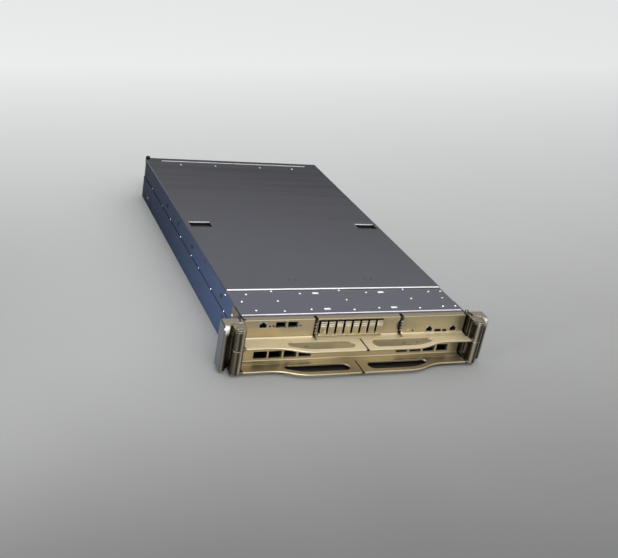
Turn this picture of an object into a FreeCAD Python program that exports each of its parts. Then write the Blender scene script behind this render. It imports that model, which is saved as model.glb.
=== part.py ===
import FreeCAD, Part
import math
import os

from FreeCAD import Vector

# Rack server tray, two rack units high, with four hinged pull levers across its front.
# Millimetres. +X to the right seen from the front, +Y to the rear, +Z up.
# The origin is on the underside, on the middle line, in the plane of the rack posts.

# Rack panel and body
panel_width = 482.6
ear_width = 35.3
body_height = 88.0
body_depth = 735.0
rear_inset = 3.0
sheet = 1.2
seat_gap = 0.3
pick = 0.1

# Top: fixed front cover and sliding lid
lid_sheet = 1.6
lid_gap = 0.4
lid_hem = 6.0
seam_y = 96.0
cover_front = 11.0
cover_lap = 8.0
lid_rear_drop = 10.0
pull_width = 41.0
pull_length = 22.0
pull_depth = 7.0
pull_inset = 28.5
pull_y = 368.0
bead_width = 5.0
bead_rise = 0.8
bead_edge = 0.5
bead_length = 345.0
bead_inset = 11.0

# Side walls
wall = 1.8
band_step = 1.0
groove_z = 49.5
groove_width = 2.0
groove_depth = 0.6
rail_hole_r = 2.5
rail_hole_z = 67.0
rail_hole_ys = (114.0, 311.0, 420.0, 512.0)
hook_slot_ys = (116.0, 223.0)
hook_slot_length = 9.0
hook_slot_width = 2.2
hook_slot_drop = 5.3
hook_slot_tilt = 35.0

# Rivets
rivet_r = 2.2
rivet_rise = 1.0
rivet_sides = 6
rivet_front_margin = 9.0
rivet_rear_margin = 5.5
rivet_column_x = 126.0
rivet_pair_xs = (48.5, 77.0)
rivet_pair_front_step = 4.0
rivet_pair_rear_step = 10.0
rivet_end_inset = 31.0
rivet_corner_inset = 6.0
rivet_end_middle_inset = 16.0
lid_rivet_front_step = 34.0
lid_rivet_front_xs = (68.5, 80.0)
lid_rivet_rear_step = 22.0
lid_rivet_rear_xs = (53.0, 133.0)
side_rivet_r = 0.9
side_rivet_ys = (91.0, 173.0, 257.0, 310.0, 395.0, 480.0, 553.0, 649.0)

# Front fascia
fascia_y = -7.0
fascia_wall = 3.0
fascia_flange = 11.0
fascia_drop = 2.8
fascia_flange_wall = 1.8
fascia_bend_r = 4.0
fascia_top_r = 1.5
fascia_end_gap = 1.2
ledge_depth = 10.5

# Pull levers
lever_wall = 3.2
upper_lever_z = 48.8
lower_lever_z = 6.3
lever_split = 0.5
hinge_inset = 11.0
hinge_y = -31.0
barrel_r = 10.0
pin_r = 3.0
pin_clearance = 0.05
pin_head_r = 6.5
pin_head_rise = 0.8
lug_wall = 3.0
lower_lug_wall = 1.5
lower_lug_r = 8.0
lug_drop = 1.5
lever_slit = 3.0
lever_nick = 3.0
lever_back_gap = 0.7
lever_front_near = -39.0
lever_front_mid = -56.0
bulge_start_x = 162.0
bulge_end_x = 88.0
lever_edge = 0.8
grip_rim = 9.5
grip_back = -24.0
grip_inner_x = 28.0
grip_outer_x = 121.0
grip_tip_turn = 0.8
grip_nose = 6.75
grip_nose_back = 1.0

# Rack ears
ear_depth = 26.0
ear_drop = 1.0
ear_brow_r = 10.0
ear_corner_r = 4.0
ear_scoop = 6.5
ear_tab_length = 44.0
ear_tab_wall = 2.0
ear_tab_low = 12.0
ear_tab_drop = 2.0

# Upper panels: gaps that hold the module latches
latch_gap_low = 75.5
latch_gap_high = 82.0
latch_bar = 3.0
latch_pin_r = 2.0
latch_pin_rise = 5.0
latch_eye_r = 4.0
latch_pin_y = 1.0
latch_depth = 7.0
latch_proud = 3.0
notch_length = 18.0
notch_depth = 4.5
return_wall = 1.2
return_depth = 14.0

# Drives
drive_count = 8
drive_pitch = 14.74
drive_side_gap = 2.4
carrier_width = 12.3
carrier_top_gap = 3.4
carrier_wall = 2.6
carrier_gap = 0.4
drive_body_width = 9.5
drive_body_length = 110.0
drive_body_inset = 1.0
drive_latch_width = 7.8
drive_latch_blade = 10.4
drive_latch_neck = 2.3
drive_latch_wall = 1.6
drive_latch_drop = 1.2
drive_latch_pin_r = 0.8
drive_latch_knuckle = 2.6
drive_latch_pin_rise = 3.9
drive_latch_stand = 2.1
cage_wall = 1.0
cage_rib_height = 9.0

# Ports, spread along the upper panels with these gaps and set up from the ledges
io_left_gaps = (24.6, 2.8, 4.0, 1.6, 0.7, 1.6, 23.5)
io_right_gaps = (11.5, 5.4, 13.9, 4.3, 2.7, 1.6, 3.2, 12.4)
jack_width = 16.0
jack_height = 13.0
jack_depth = 21.0
jack_mouth_width = 11.8
jack_mouth_height = 6.6
jack_mouth_depth = 13.0
jack_wall = 1.6
jack_tab_width = 6.0
jack_tab_height = 1.9
jack_key_width = 3.0
jack_key_height = 1.3
jack_left_drop = 15.2
jack_right_rise = 1.4
optic_width = 20.2
optic_height = 12.4
optic_wall = 1.0
optic_depth = 50.0
optic_drop = 15.4
bay_width = 23.4
bay_height = 13.0
bay_pitch = 26.5
bay_end_inset = 35.8
bay_right_step = 4.4
bay_rise = 5.0
bay_wall = 0.7
bay_depth = 62.0
bay_count = 4
usb_width = 14.0
usb_height = 6.2
usb_wall = 0.6
usb_depth = 16.0
display_width = 9.6
display_height = 5.6
service_rise = 1.2
port_gap = 0.1
tongue_wall = 1.6
tongue_side = 1.8
tongue_front = 1.2

# Button and lights
button_rise = 5.5
button_r = 2.0
button_travel = 1.2
button_head_r = 3.2
button_head_wall = 1.5
button_clearance = 0.06
light_r = 1.1
light_sides = 8
light_length = 12.0
light_drop = 11.2
bay_light_rise = 6.0
bay_light_offset = 2.0
bay_light_side = 1.5
slot_rise = 2.9
slot_width = 5.0
slot_height = 1.4

# Inside
board_wall = 1.6
deck_rear = 128.0
deck_wall = 1.2
network_board_rear = 108.0
main_board_side_gap = 13.2
main_board_front = 205.0
main_board_rear_gap = 90.8
main_board_low = 8.0
boss_r = 4.0
hex_sides = 6
boss_margin = 12.0
chip_side = 66.0
chip_base = 2.0
chip_lid_side = 52.0
chip_lid = 3.0
plate_side = 78.0
plate_wall = 12.0
plate_port_r = 4.0
plate_port_rise = 8.0
plate_port_offset = 20.0
plate_x = 95.0
plate_rows = 3
plate_front_gap = 85.0
plate_rear_gap = 80.0
rail_r = 6.0
supply_z = 46.0
return_z = 62.0
header_rear_gap = 75.8
coupling_r = 9.0
coupling_flange_r = 13.0
coupling_flange = 4.0
coupling_out = 24.0
coupling_bore_r = 4.0
coupling_neck_r = 8.4
coupling_neck = 1.0
fan_count = 4
fan_top_gap = 2.4
fan_duct_wall = 2.0
fan_depth = 32.0
fan_pitch = 84.0
fan_front = 150.0
fan_hub_r = 17.0
fan_motor_r = 15.0
fan_motor_depth = 18.0
fan_blades = 5
fan_blade_wall = 1.4
fan_root_chord = 13.0
fan_root_pitch = 52.0
fan_tip_chord = 22.0
fan_tip_pitch = 34.0
fan_bite = 1.0
fan_run_gap = 5.0
fan_tip_gap = 2.6
fan_strut = 3.0
fan_sides = 20
rear_wall_gap = 0.2

# Rear
clip_width = 50.0
clip_height = 50.0
clip_low = 18.0
clip_depth = 46.0
clip_out = 12.0
clip_slot = 9.0
clip_slot_depth = 32.0
clip_foot_width = 40.0
clip_foot_depth = 22.0
plug_width = 44.0
plug_height = 34.0
plug_low = 20.0
plug_out = 9.0
plug_depth = 26.0
plug_flange = 3.0
plug_flange_lip = 3.0
plug_key = 6.0
plug_key_depth = 3.0
plug_insets = (85.2, 33.2)
gasket_wall = 4.5
gasket_height = 6.2
bumper_r = 5.0
bumper_rise = 4.0
bumper_edge = 1.5
bumper_drop = 8.0
bumper_inset = 6.0
skid_wall = 2.0
skid_front = -33.0
skid_width = 280.0


def spread(start, end, widths, gaps):
    """Middles of things in a row from start to end, with gaps that grow and shrink together."""
    ease = (end - start - sum(widths)) / sum(gaps)
    middles = []
    edge = start
    for width, gap in zip(widths, gaps):
        edge += gap * ease
        middles.append(edge + width / 2)
        edge += width
    return middles


# Heights and planes that follow from the sizes above
ear_outer = panel_width / 2
outer_x = ear_outer - ear_width
half_body = outer_x - band_step
lid_low = body_height - lid_sheet
cover_top = lid_low - lid_gap
tray_top = cover_top - sheet
tray_front = fascia_y + fascia_flange + seat_gap
tray_rear = body_depth - rear_inset
rear_wall_y = tray_rear - sheet
inner_x = half_body - wall
groove_x = half_body - groove_depth
bead_y = body_depth - bead_inset

fascia_top = body_height - fascia_drop
fascia_inner = fascia_y + fascia_wall
fascia_end = half_body - fascia_end_gap
ledge_front = fascia_y - ledge_depth
upper_ledge = upper_lever_z + lever_wall
lower_ledge = lower_lever_z + lever_wall
lever_back = ledge_front - lever_back_gap
deck_top = upper_lever_z + deck_wall

ear_inner = outer_x
hinge_x = ear_inner + hinge_inset
ear_low = lower_lever_z - seat_gap
ear_top = body_height - ear_drop
lug_low = ear_low - lower_lug_wall
lug_high_top = ear_top - lug_drop
lug_high_low = lug_high_top - lug_wall

latch_pin_z = upper_ledge + latch_pin_rise
notch_z = (upper_ledge + fascia_top) / 2
carrier_low = upper_ledge + seat_gap
carrier_high = fascia_top - carrier_top_gap
drive_latch_pin_y = fascia_y - drive_latch_stand
drive_latch_pin_z = carrier_low + drive_latch_pin_rise
drive_latch_high = carrier_high - drive_latch_drop
drive_bay_left = -latch_gap_low + return_wall
drive_first_x = drive_bay_left + drive_side_gap
drive_right = drive_first_x + drive_pitch * (drive_count - 1) + carrier_width

port_front = fascia_y - port_gap
service_low = upper_ledge + service_rise
optic_low = fascia_top - optic_drop
light_width = 2 * light_r
left_widths = (jack_width, light_width, light_width, optic_width, optic_width, light_width)
left_xs = spread(-fascia_end, -latch_gap_high, left_widths, io_left_gaps)
right_widths = (2 * button_r, light_width, slot_width, jack_width, usb_width, display_width, jack_width)
right_xs = spread(latch_gap_high, fascia_end, right_widths, io_right_gaps)
button_x, button_light_x, slot_x, jack_middle_x, usb_x, display_x, jack_right_x = right_xs
button_z = upper_ledge + button_rise
slot_z = upper_ledge + slot_rise
jack_right_low = upper_ledge + jack_right_rise
jack_places = [(left_xs[0], fascia_top - jack_left_drop), (jack_middle_x, jack_right_low),
               (jack_right_x, jack_right_low)]
optic_xs = left_xs[3:5]
upper_lights = [(left_xs[i], fascia_top - light_drop) for i in (1, 2, 5)]
upper_lights.append((button_light_x, button_z))
bay_low = lower_ledge + bay_rise
bay_first_x = fascia_end - bay_end_inset - (bay_count - 1) * bay_pitch
bay_xs = [bay_first_x + i * bay_pitch for i in range(bay_count)]
bay_light_z = bay_low + bay_height + bay_light_rise
bay_middles = [-x for x in bay_xs] + [x + bay_right_step for x in bay_xs]

main_board_half = inner_x - main_board_side_gap
main_board_rear = rear_wall_y - main_board_rear_gap
network_board_low = bay_low - bay_wall - board_wall
plate_low = main_board_low + board_wall + chip_base + chip_lid
plate_top = plate_low + plate_wall
plate_first_y = main_board_front + plate_front_gap
plate_pitch = (main_board_rear - plate_rear_gap - plate_first_y) / (plate_rows - 1)
plate_ys = [plate_first_y + i * plate_pitch for i in range(plate_rows)]
header_y = rear_wall_y - header_rear_gap
fan_side = tray_top - 2 * sheet - fan_top_gap
fan_z = sheet + fan_side / 2
fan_rear = fan_front + fan_depth
fan_duct_r = fan_side / 2 - fan_duct_wall
fan_xs = [fan_pitch * (i - (fan_count - 1) / 2) for i in range(fan_count)]
clip_rear = tray_rear + clip_out
plug_xs = [inner_x - inset for inset in plug_insets]
plug_inner_edge = plug_xs[0] - plug_width / 2 - plug_flange_lip
coupling_x = (clip_width / 2 + plug_inner_edge) / 2


def box(x0, x1, y0, y1, z0, z1):
    return Part.makeBox(x1 - x0, y1 - y0, z1 - z0, Vector(x0, y0, z0))


def rod_x(x0, x1, y, z, r):
    return Part.makeCylinder(r, x1 - x0, Vector(x0, y, z), Vector(1, 0, 0))


def rod_y(x, y0, y1, z, r):
    return Part.makeCylinder(r, y1 - y0, Vector(x, y0, z), Vector(0, 1, 0))


def rod_z(x, y, z0, z1, r):
    return Part.makeCylinder(r, z1 - z0, Vector(x, y, z0))


def facet_z(x, y, z0, z1, r, sides):
    """Upright prism with a regular outline, for hex standoffs, hex fittings and small rivets."""
    corners = []
    for i in range(sides):
        turn = 2 * math.pi * (i + 0.5) / sides
        corners.append((x + r * math.cos(turn), y + r * math.sin(turn), z0))
    return prism(polygon(corners), Vector(0, 0, z1 - z0))


def facet_y(x, y0, y1, z, r, sides):
    """The same prism laid along Y, for what repeats and needs few faces."""
    shape = facet_z(0, 0, y0, y1, r, sides)
    shape.rotate(Vector(0, 0, 0), Vector(1, 0, 0), -90)
    shape.translate(Vector(x, 0, z))
    return shape


def prism(edges, direction):
    """Extrude a closed outline of edges."""
    return Part.Face(Part.Wire(edges)).extrude(direction)


def polygon(points):
    return Part.makePolygon([Vector(*p) for p in points + points[:1]]).Edges


def fuse(shapes):
    return shapes[0].multiFuse(shapes[1:]).removeSplitter()


def mirrored(shape):
    return shape.mirror(Vector(0, 0, 0), Vector(1, 0, 0))


def both_sides(shape):
    return [shape, mirrored(shape)]


def group(shapes):
    return Part.makeCompound(shapes)


def save(name, shape):
    shape.exportStep("parts/" + name + ".step")


def edges_where(shape, test):
    return [edge for edge in shape.Edges if test(edge.BoundBox)]


def tilted_slot(x0, x1, y, z):
    """Slot cutter along X through a side wall, tilted in the wall's plane."""
    cutter = box(x0, x1, -hook_slot_length / 2, hook_slot_length / 2, -hook_slot_width / 2,
                 hook_slot_width / 2)
    cutter.rotate(Vector(0, 0, 0), Vector(1, 0, 0), hook_slot_tilt)
    cutter.translate(Vector(0, y, z))
    return cutter


def make_tray():
    groove_low = groove_z - groove_width / 2
    groove_high = groove_z + groove_width / 2
    flange_x = half_body - lid_hem
    right = [
        (outer_x, tray_front, 0),
        (outer_x, tray_front, groove_low),
        (groove_x, tray_front, groove_low),
        (groove_x, tray_front, groove_high),
        (half_body, tray_front, groove_high),
        (half_body, tray_front, tray_top),
        (flange_x, tray_front, tray_top),
        (flange_x, tray_front, tray_top - sheet),
        (inner_x, tray_front, tray_top - sheet),
        (inner_x, tray_front, sheet),
    ]
    left = [(-x, y, z) for x, y, z in reversed(right)]
    tray = prism(polygon(right + left), Vector(0, tray_rear - tray_front, 0))
    cross = box(-inner_x, inner_x, tray_front, cover_front + lid_hem, tray_top - sheet, tray_top)
    bosses = []
    for x in (-1, 1):
        for y in (main_board_front + boss_margin, main_board_rear - boss_margin):
            bosses.append(facet_z(x * (main_board_half - boss_margin), y, sheet, main_board_low,
                                  boss_r, hex_sides))
        for y in (tray_front + boss_margin, network_board_rear - boss_margin):
            bosses.append(facet_z(x * (inner_x - 2 * boss_margin), y, sheet, network_board_low,
                                  boss_r, hex_sides))
    tray = fuse([tray, cross] + bosses)
    cutters = []
    for y in rail_hole_ys:
        cutters += both_sides(rod_x(inner_x - wall, outer_x, y, rail_hole_z, rail_hole_r))
    for y in hook_slot_ys:
        cutters += both_sides(tilted_slot(inner_x - wall, outer_x, y, tray_top - hook_slot_drop))
    return tray.cut(cutters)


def make_rear_panel():
    x = inner_x - rear_wall_gap
    panel = box(-x, x, rear_wall_y, tray_rear, sheet, tray_top - sheet - rear_wall_gap)
    cuts = [box(-clip_width / 2 - seat_gap, clip_width / 2 + seat_gap, rear_wall_y, tray_rear,
                clip_low - seat_gap, clip_low + clip_height + seat_gap)]
    cuts.append(rod_y(-coupling_x, rear_wall_y, tray_rear, supply_z, coupling_neck_r + seat_gap))
    cuts.append(rod_y(coupling_x, rear_wall_y, tray_rear, return_z, coupling_neck_r + seat_gap))
    for x in plug_xs:
        window = box(x - plug_width / 2 - seat_gap, x + plug_width / 2 + seat_gap, rear_wall_y, tray_rear,
                     plug_low - seat_gap, plug_low + plug_height + seat_gap)
        cuts += both_sides(window)
    return panel.cut(cuts)


def make_front_cover():
    return box(-half_body, half_body, cover_front, seam_y + cover_lap, tray_top, cover_top)


def rivet(x, y, z):
    """Low rivet head on a level surface, with few sides because there are many."""
    return facet_z(x, y, z, z + rivet_rise, rivet_r, rivet_sides)


def cover_rivet_places():
    front = cover_front + rivet_front_margin
    rear = seam_y - rivet_rear_margin
    middle = (front + rear) / 2
    places = [(x, y) for x in (-rivet_column_x, 0, rivet_column_x) for y in (front, middle, rear)]
    pair_xs = [side * x for side in (-1, 1) for x in rivet_pair_xs + (half_body - rivet_end_inset,)]
    for x in pair_xs + [half_body - rivet_corner_inset]:
        places.append((x, front + rivet_pair_front_step))
        places.append((x, rear - rivet_pair_rear_step))
    for side in (-1, 1):
        places.append((side * (half_body - rivet_end_middle_inset), middle))
    return places


def make_chassis_rivets():
    rivets = [rivet(x, y, cover_top) for x, y in cover_rivet_places()]
    for y in side_rivet_ys:
        head = facet_z(0, 0, 0, rivet_rise, side_rivet_r, rivet_sides)
        head.rotate(Vector(0, 0, 0), Vector(0, 1, 0), 90)
        head.translate(Vector(groove_x, y, groove_z))
        rivets += both_sides(head)
    return group(rivets)


def make_lid():
    lid = box(-half_body, half_body, seam_y, body_depth, lid_low, body_height)
    hem_low = tray_top + lid_gap
    hem = box(half_body - lid_hem, half_body, seam_y + cover_lap + lid_gap, tray_rear, hem_low, lid_low)
    rear = box(-half_body, half_body, body_depth - sheet, body_depth, body_height - lid_rear_drop, lid_low)
    bead = box(-bead_length / 2, bead_length / 2, bead_y - bead_width / 2, bead_y + bead_width / 2,
               body_height, body_height + bead_rise)
    bead = bead.makeChamfer(bead_edge, edges_where(bead, lambda b: b.ZMin > body_height))
    shells = []
    hollows = []
    front = pull_y - pull_length / 2
    rear_edge = pull_y + pull_length / 2
    low = body_height - pull_depth
    for side in (-1, 1):
        x0 = side * (half_body - pull_inset) - pull_width / 2
        outline = [(x0, front, body_height), (x0, rear_edge, body_height), (x0, rear_edge, low)]
        hollows.append(prism(polygon(outline), Vector(pull_width, 0, 0)))
        xs = x0 - sheet
        skin = [(xs, front, lid_low), (xs, rear_edge + sheet, lid_low),
                (xs, rear_edge + sheet, low - sheet), (xs, rear_edge - sheet, low - sheet),
                (xs, front - sheet, lid_low)]
        shells.append(prism(polygon(skin), Vector(pull_width + 2 * sheet, 0, 0)))
    return fuse([lid, rear, bead] + both_sides(hem) + shells).cut(hollows)


def make_lid_rivets():
    places = []
    for side in (-1, 1):
        places += [(side * x, seam_y + lid_rivet_front_step) for x in lid_rivet_front_xs]
        places += [(side * x, bead_y - lid_rivet_rear_step) for x in lid_rivet_rear_xs]
    return group([rivet(x, y, body_height) for x, y in places])


def make_gasket():
    left = -half_body + bumper_inset + bumper_r + seat_gap
    return box(left, half_body, body_depth, body_depth + gasket_wall,
               body_height - gasket_height, body_height)


def make_bumper():
    x = -half_body + bumper_inset
    y = body_depth + bumper_r
    low = body_height - bumper_drop
    top = body_height + bumper_rise
    post = rod_z(x, y, low, top, bumper_r)
    post = post.makeChamfer(bumper_edge, edges_where(post, lambda b: b.ZMin > top - pick))
    foot = box(x - bumper_r, x + bumper_r, body_depth, y, low, body_height - sheet)
    return fuse([post, foot])


def bulge_arcs(offset):
    """The front edge's double curve, moved back by offset: two arcs, outer end first."""
    run = bulge_start_x - bulge_end_x
    drop = lever_front_near - lever_front_mid
    radius = (run * run + drop * drop) / (4 * drop)
    turn = 2 * math.atan2(drop, run)
    outer = Vector(bulge_start_x, lever_front_near - radius, 0)
    inner = Vector(bulge_end_x, lever_front_mid + radius, 0)
    outer_r = radius + offset
    inner_r = radius - offset

    def on_outer(a):
        return outer + Vector(-outer_r * math.sin(a), outer_r * math.cos(a), 0)

    def on_inner(a):
        return inner + Vector(inner_r * math.sin(a), -inner_r * math.cos(a), 0)

    return on_outer, on_inner, turn


def make_lever(z0, barrel_top):
    """Right-hand lever: shelf plate with a bowed front edge and a grip slot, on a hinge barrel."""
    on_outer, on_inner, turn = bulge_arcs(0.0)
    inner_x0 = lever_slit / 2
    corners = [
        Vector(inner_x0 + lever_nick, lever_front_mid, 0),
        Vector(inner_x0, lever_front_mid + lever_nick, 0),
        Vector(inner_x0, lever_back, 0),
        Vector(fascia_end - lever_nick, lever_back, 0),
        Vector(ear_inner - lever_back_gap, -ear_depth - lever_back_gap, 0),
        Vector(hinge_x - barrel_r, hinge_y, 0),
        Vector(hinge_x, hinge_y, 0),
        Vector(hinge_x, lever_front_near, 0),
        on_outer(0),
    ]
    outline = [Part.LineSegment(a, b).toShape() for a, b in zip(corners, corners[1:])]
    outline.append(Part.Arc(on_outer(0), on_outer(turn / 2), on_outer(turn)).toShape())
    outline.append(Part.Arc(on_inner(turn), on_inner(turn / 2), on_inner(0)).toShape())
    outline.append(Part.LineSegment(on_inner(0), corners[0]).toShape())
    plate = prism(outline, Vector(0, 0, lever_wall))
    front = edges_where(plate, lambda b: b.YMax < lever_front_near + pick and b.XLength > 2 * lever_nick)
    plate = plate.makeChamfer(lever_edge, front)
    plate = plate.cut(make_grip_hole())
    plate.translate(Vector(0, 0, z0))
    barrel = rod_z(hinge_x, hinge_y, z0, barrel_top, barrel_r)
    bore = rod_z(hinge_x, hinge_y, z0, barrel_top, pin_r + pin_clearance)
    return fuse([plate, barrel]).cut(bore)


def make_grip_hole():
    """Half-lens finger slot whose front edge runs parallel to the lever's front edge."""
    on_outer, on_inner, turn = bulge_arcs(grip_rim)
    front_y = lever_front_mid + grip_rim
    end_r = (grip_back - front_y) / 2
    tip = on_outer(turn * grip_tip_turn)
    back_left = Vector(grip_inner_x, grip_back, 0)
    back_right = Vector(grip_outer_x, grip_back, 0)
    front_left = Vector(grip_inner_x, front_y, 0)
    nose = Vector((grip_outer_x + tip.x) / 2 + grip_nose, (grip_back + tip.y) / 2 + grip_nose_back, 0)
    edges = [
        Part.LineSegment(back_left, back_right).toShape(),
        Part.Arc(back_right, nose, tip).toShape(),
        Part.Arc(tip, on_outer(turn * (1 + grip_tip_turn) / 2), on_outer(turn)).toShape(),
        Part.Arc(on_inner(turn), on_inner(turn / 2), on_inner(0)).toShape(),
        Part.LineSegment(on_inner(0), front_left).toShape(),
        Part.Arc(front_left, Vector(grip_inner_x - end_r, front_y + end_r, 0), back_left).toShape(),
    ]
    return prism(edges, Vector(0, 0, lever_wall))


def make_pin():
    shank = rod_z(hinge_x, hinge_y, lug_low, lug_high_top, pin_r)
    head = rod_z(hinge_x, hinge_y, lug_high_top, lug_high_top + pin_head_rise, pin_head_r)
    return fuse([shank, head])


def make_ear():
    """Right-hand ear: block with a rounded brow, scooped out round the barrels, with a lug at each end."""
    block = box(ear_inner, ear_outer, -ear_depth, 0, ear_low, ear_top)
    brow = edges_where(block, lambda b: b.ZMin > ear_top - pick and b.YMax < -ear_depth + pick)
    block = block.makeFillet(ear_brow_r, brow)
    rim = edges_where(block, lambda b: b.XMin > ear_outer - pick and b.ZMax > ear_low + pick
                      and b.YMin < -pick)
    block = block.makeFillet(ear_corner_r, rim)
    tab = box(ear_inner, ear_inner + ear_tab_wall, 0, ear_tab_length, ear_tab_low, ear_top - ear_tab_drop)
    scoop = rod_z(hinge_x, hinge_y, ear_low, ear_top, barrel_r + ear_scoop)
    lugs = []
    for z0, z1, r in ((lug_low, ear_low, lower_lug_r), (lug_high_low, lug_high_top, barrel_r)):
        lugs.append(rod_z(hinge_x, hinge_y, z0, z1, r))
        lugs.append(box(hinge_x - r, hinge_x + r, hinge_y, -ear_tab_wall, z0, z1))
    ear = fuse([block.cut(scoop), tab] + lugs)
    return ear.cut(rod_z(hinge_x, hinge_y, lug_low, ear_top, pin_r))


def fascia_profile(x, ledge_low, ledge_top, top, flange_rear):
    """Section of a fascia: ledge, bend, front wall, rounded top edge and a flange back from it."""
    bend = fascia_bend_r
    centre = Vector(x, fascia_y - bend, ledge_top + bend)
    dip = bend * math.sqrt(0.5)
    crown = Vector(x, fascia_y + fascia_top_r, top - fascia_top_r)
    rise = fascia_top_r * math.sqrt(0.5)
    points = [
        Vector(x, fascia_y + fascia_top_r, top),
        Vector(x, flange_rear, top),
        Vector(x, flange_rear, top - fascia_flange_wall),
        Vector(x, fascia_inner, top - fascia_flange_wall),
        Vector(x, fascia_inner, ledge_low),
        Vector(x, ledge_front, ledge_low),
        Vector(x, ledge_front, ledge_top),
        Vector(x, fascia_y - bend, ledge_top),
    ]
    edges = [Part.LineSegment(a, b).toShape() for a, b in zip(points, points[1:])]
    wall_low = Vector(x, fascia_y, ledge_top + bend)
    wall_high = Vector(x, fascia_y, top - fascia_top_r)
    edges.append(Part.Arc(points[-1], centre + Vector(0, dip, -dip), wall_low).toShape())
    edges.append(Part.LineSegment(wall_low, wall_high).toShape())
    edges.append(Part.Arc(wall_high, crown + Vector(0, -rise, rise), points[0]).toShape())
    return edges


def upper_fascia(x0, x1):
    edges = fascia_profile(x0, upper_lever_z, upper_ledge, fascia_top, fascia_y + fascia_flange)
    return prism(edges, Vector(x1 - x0, 0, 0))


def wall_window(x0, x1, z0, z1):
    return box(x0, x1, fascia_y - fascia_bend_r, fascia_inner, z0, z1)


def light_pipe(x, z, rear):
    """Light pipe, or the hole for it, from just ahead of the panel back to a given depth."""
    return facet_y(x, port_front, rear, z, light_r, light_sides)


def gap_return(x0):
    """Flange that runs back from a panel's edge beside a latch gap."""
    return box(x0, x0 + return_wall, fascia_inner, fascia_inner + return_depth,
               deck_top + seat_gap, fascia_top - fascia_flange_wall)


def jack_window(x, z):
    half = jack_width / 2 + port_gap
    return wall_window(x - half, x + half, z - port_gap, z + jack_height + port_gap)


def make_io_panel_left():
    panel = upper_fascia(-fascia_end, -latch_gap_high)
    flange = gap_return(-latch_gap_high - return_wall)
    cuts = [jack_window(*jack_places[0])]
    for x in optic_xs:
        half = optic_width / 2 + port_gap
        cuts.append(wall_window(x - half, x + half, optic_low - port_gap,
                                optic_low + optic_height + port_gap))
    cuts += [light_pipe(x, z, fascia_inner) for x, z in upper_lights if x < 0]
    return fuse([panel, flange]).cut(cuts)


def make_io_panel_right():
    panel = upper_fascia(latch_gap_high, fascia_end)
    flange = gap_return(latch_gap_high)
    cuts = [jack_window(x, z) for x, z in jack_places if x > 0]
    half = usb_width / 2 + port_gap
    cuts.append(wall_window(usb_x - half, usb_x + half, service_low - port_gap,
                            service_low + usb_height + port_gap))
    half = display_width / 2 + port_gap
    cuts.append(wall_window(display_x - half, display_x + half, service_low - port_gap,
                            service_low + display_height + port_gap))
    cuts.append(rod_y(button_x, fascia_y, fascia_inner, button_z, button_r))
    cuts += [light_pipe(x, z, fascia_inner) for x, z in upper_lights if x > 0]
    cuts.append(wall_window(slot_x - slot_width / 2, slot_x + slot_width / 2,
                            slot_z - slot_height / 2, slot_z + slot_height / 2))
    return fuse([panel, flange]).cut(cuts)


def make_drive_panel():
    panel = upper_fascia(-latch_gap_low, latch_gap_low)
    left = gap_return(-latch_gap_low)
    right = gap_return(latch_gap_low - return_wall)
    pins = both_sides(rod_x(latch_gap_low, latch_gap_high - seat_gap, latch_pin_y, latch_pin_z, latch_pin_r))
    window = wall_window(drive_bay_left, drive_right + carrier_gap,
                         upper_ledge, carrier_high + carrier_gap)
    notch = rod_y(latch_gap_low, fascia_y - fascia_bend_r, fascia_inner, notch_z, notch_length / 2)
    squeeze = FreeCAD.Matrix()
    squeeze.scale(notch_depth / (notch_length / 2), 1, 1)
    notch.translate(Vector(-latch_gap_low, 0, 0))
    notch = notch.transformGeometry(squeeze)
    notch.translate(Vector(latch_gap_low, 0, 0))
    return fuse([panel.cut([window, notch]), left, right] + pins)


def bay_light_places():
    return [(x + step, bay_light_z) for x in bay_middles for step in (-bay_light_offset, bay_light_offset)]


def make_network_panel():
    top = upper_lever_z - lever_split
    edges = fascia_profile(-fascia_end, lower_lever_z, lower_ledge, top, fascia_inner + fascia_flange_wall)
    panel = prism(edges, Vector(2 * fascia_end, 0, 0))
    cuts = []
    for x in bay_middles:
        cuts.append(wall_window(x - bay_width / 2, x + bay_width / 2, bay_low, bay_low + bay_height))
    half = bay_light_side / 2
    cuts += [wall_window(x - half, x + half, z - half, z + half) for x, z in bay_light_places()]
    return panel.cut(cuts)


def make_jack(x, z):
    """Shielded jack: housing with a mouth stepped at its top for the plug's tab."""
    housing = box(x - jack_width / 2, x + jack_width / 2, port_front, port_front + jack_depth,
                  z, z + jack_height)
    hollows = []
    low = z + jack_wall
    steps = ((jack_mouth_width, jack_mouth_height), (jack_tab_width, jack_tab_height),
             (jack_key_width, jack_key_height))
    for width, height in steps:
        hollows.append(box(x - width / 2, x + width / 2, port_front, port_front + jack_mouth_depth,
                           low, low + height))
        low += height
    return housing.cut(hollows)


def sleeve(x, z, width, height, wall_thickness, y0, y1):
    """Open-fronted port cage with a closed rear end."""
    outer = box(x - width / 2, x + width / 2, y0, y1, z, z + height)
    inner = box(x - width / 2 + wall_thickness, x + width / 2 - wall_thickness, y0, y1 - wall_thickness,
                z + wall_thickness, z + height - wall_thickness)
    return outer.cut(inner)


def make_upper_cages():
    rear = port_front + optic_depth
    return group([sleeve(x, optic_low, optic_width, optic_height, optic_wall, port_front, rear)
                  for x in optic_xs])


def make_network_cage(xs):
    """Cages in one stamped row, closed at the rear."""
    rear = fascia_inner + bay_depth
    row = box(min(xs) - bay_width / 2 - bay_wall, max(xs) + bay_width / 2 + bay_wall, fascia_inner, rear,
              bay_low - bay_wall, bay_low + bay_height + bay_wall)
    bays = [box(x - bay_width / 2, x + bay_width / 2, fascia_inner, rear - bay_wall,
                bay_low, bay_low + bay_height) for x in xs]
    return row.cut(bays)


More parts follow.
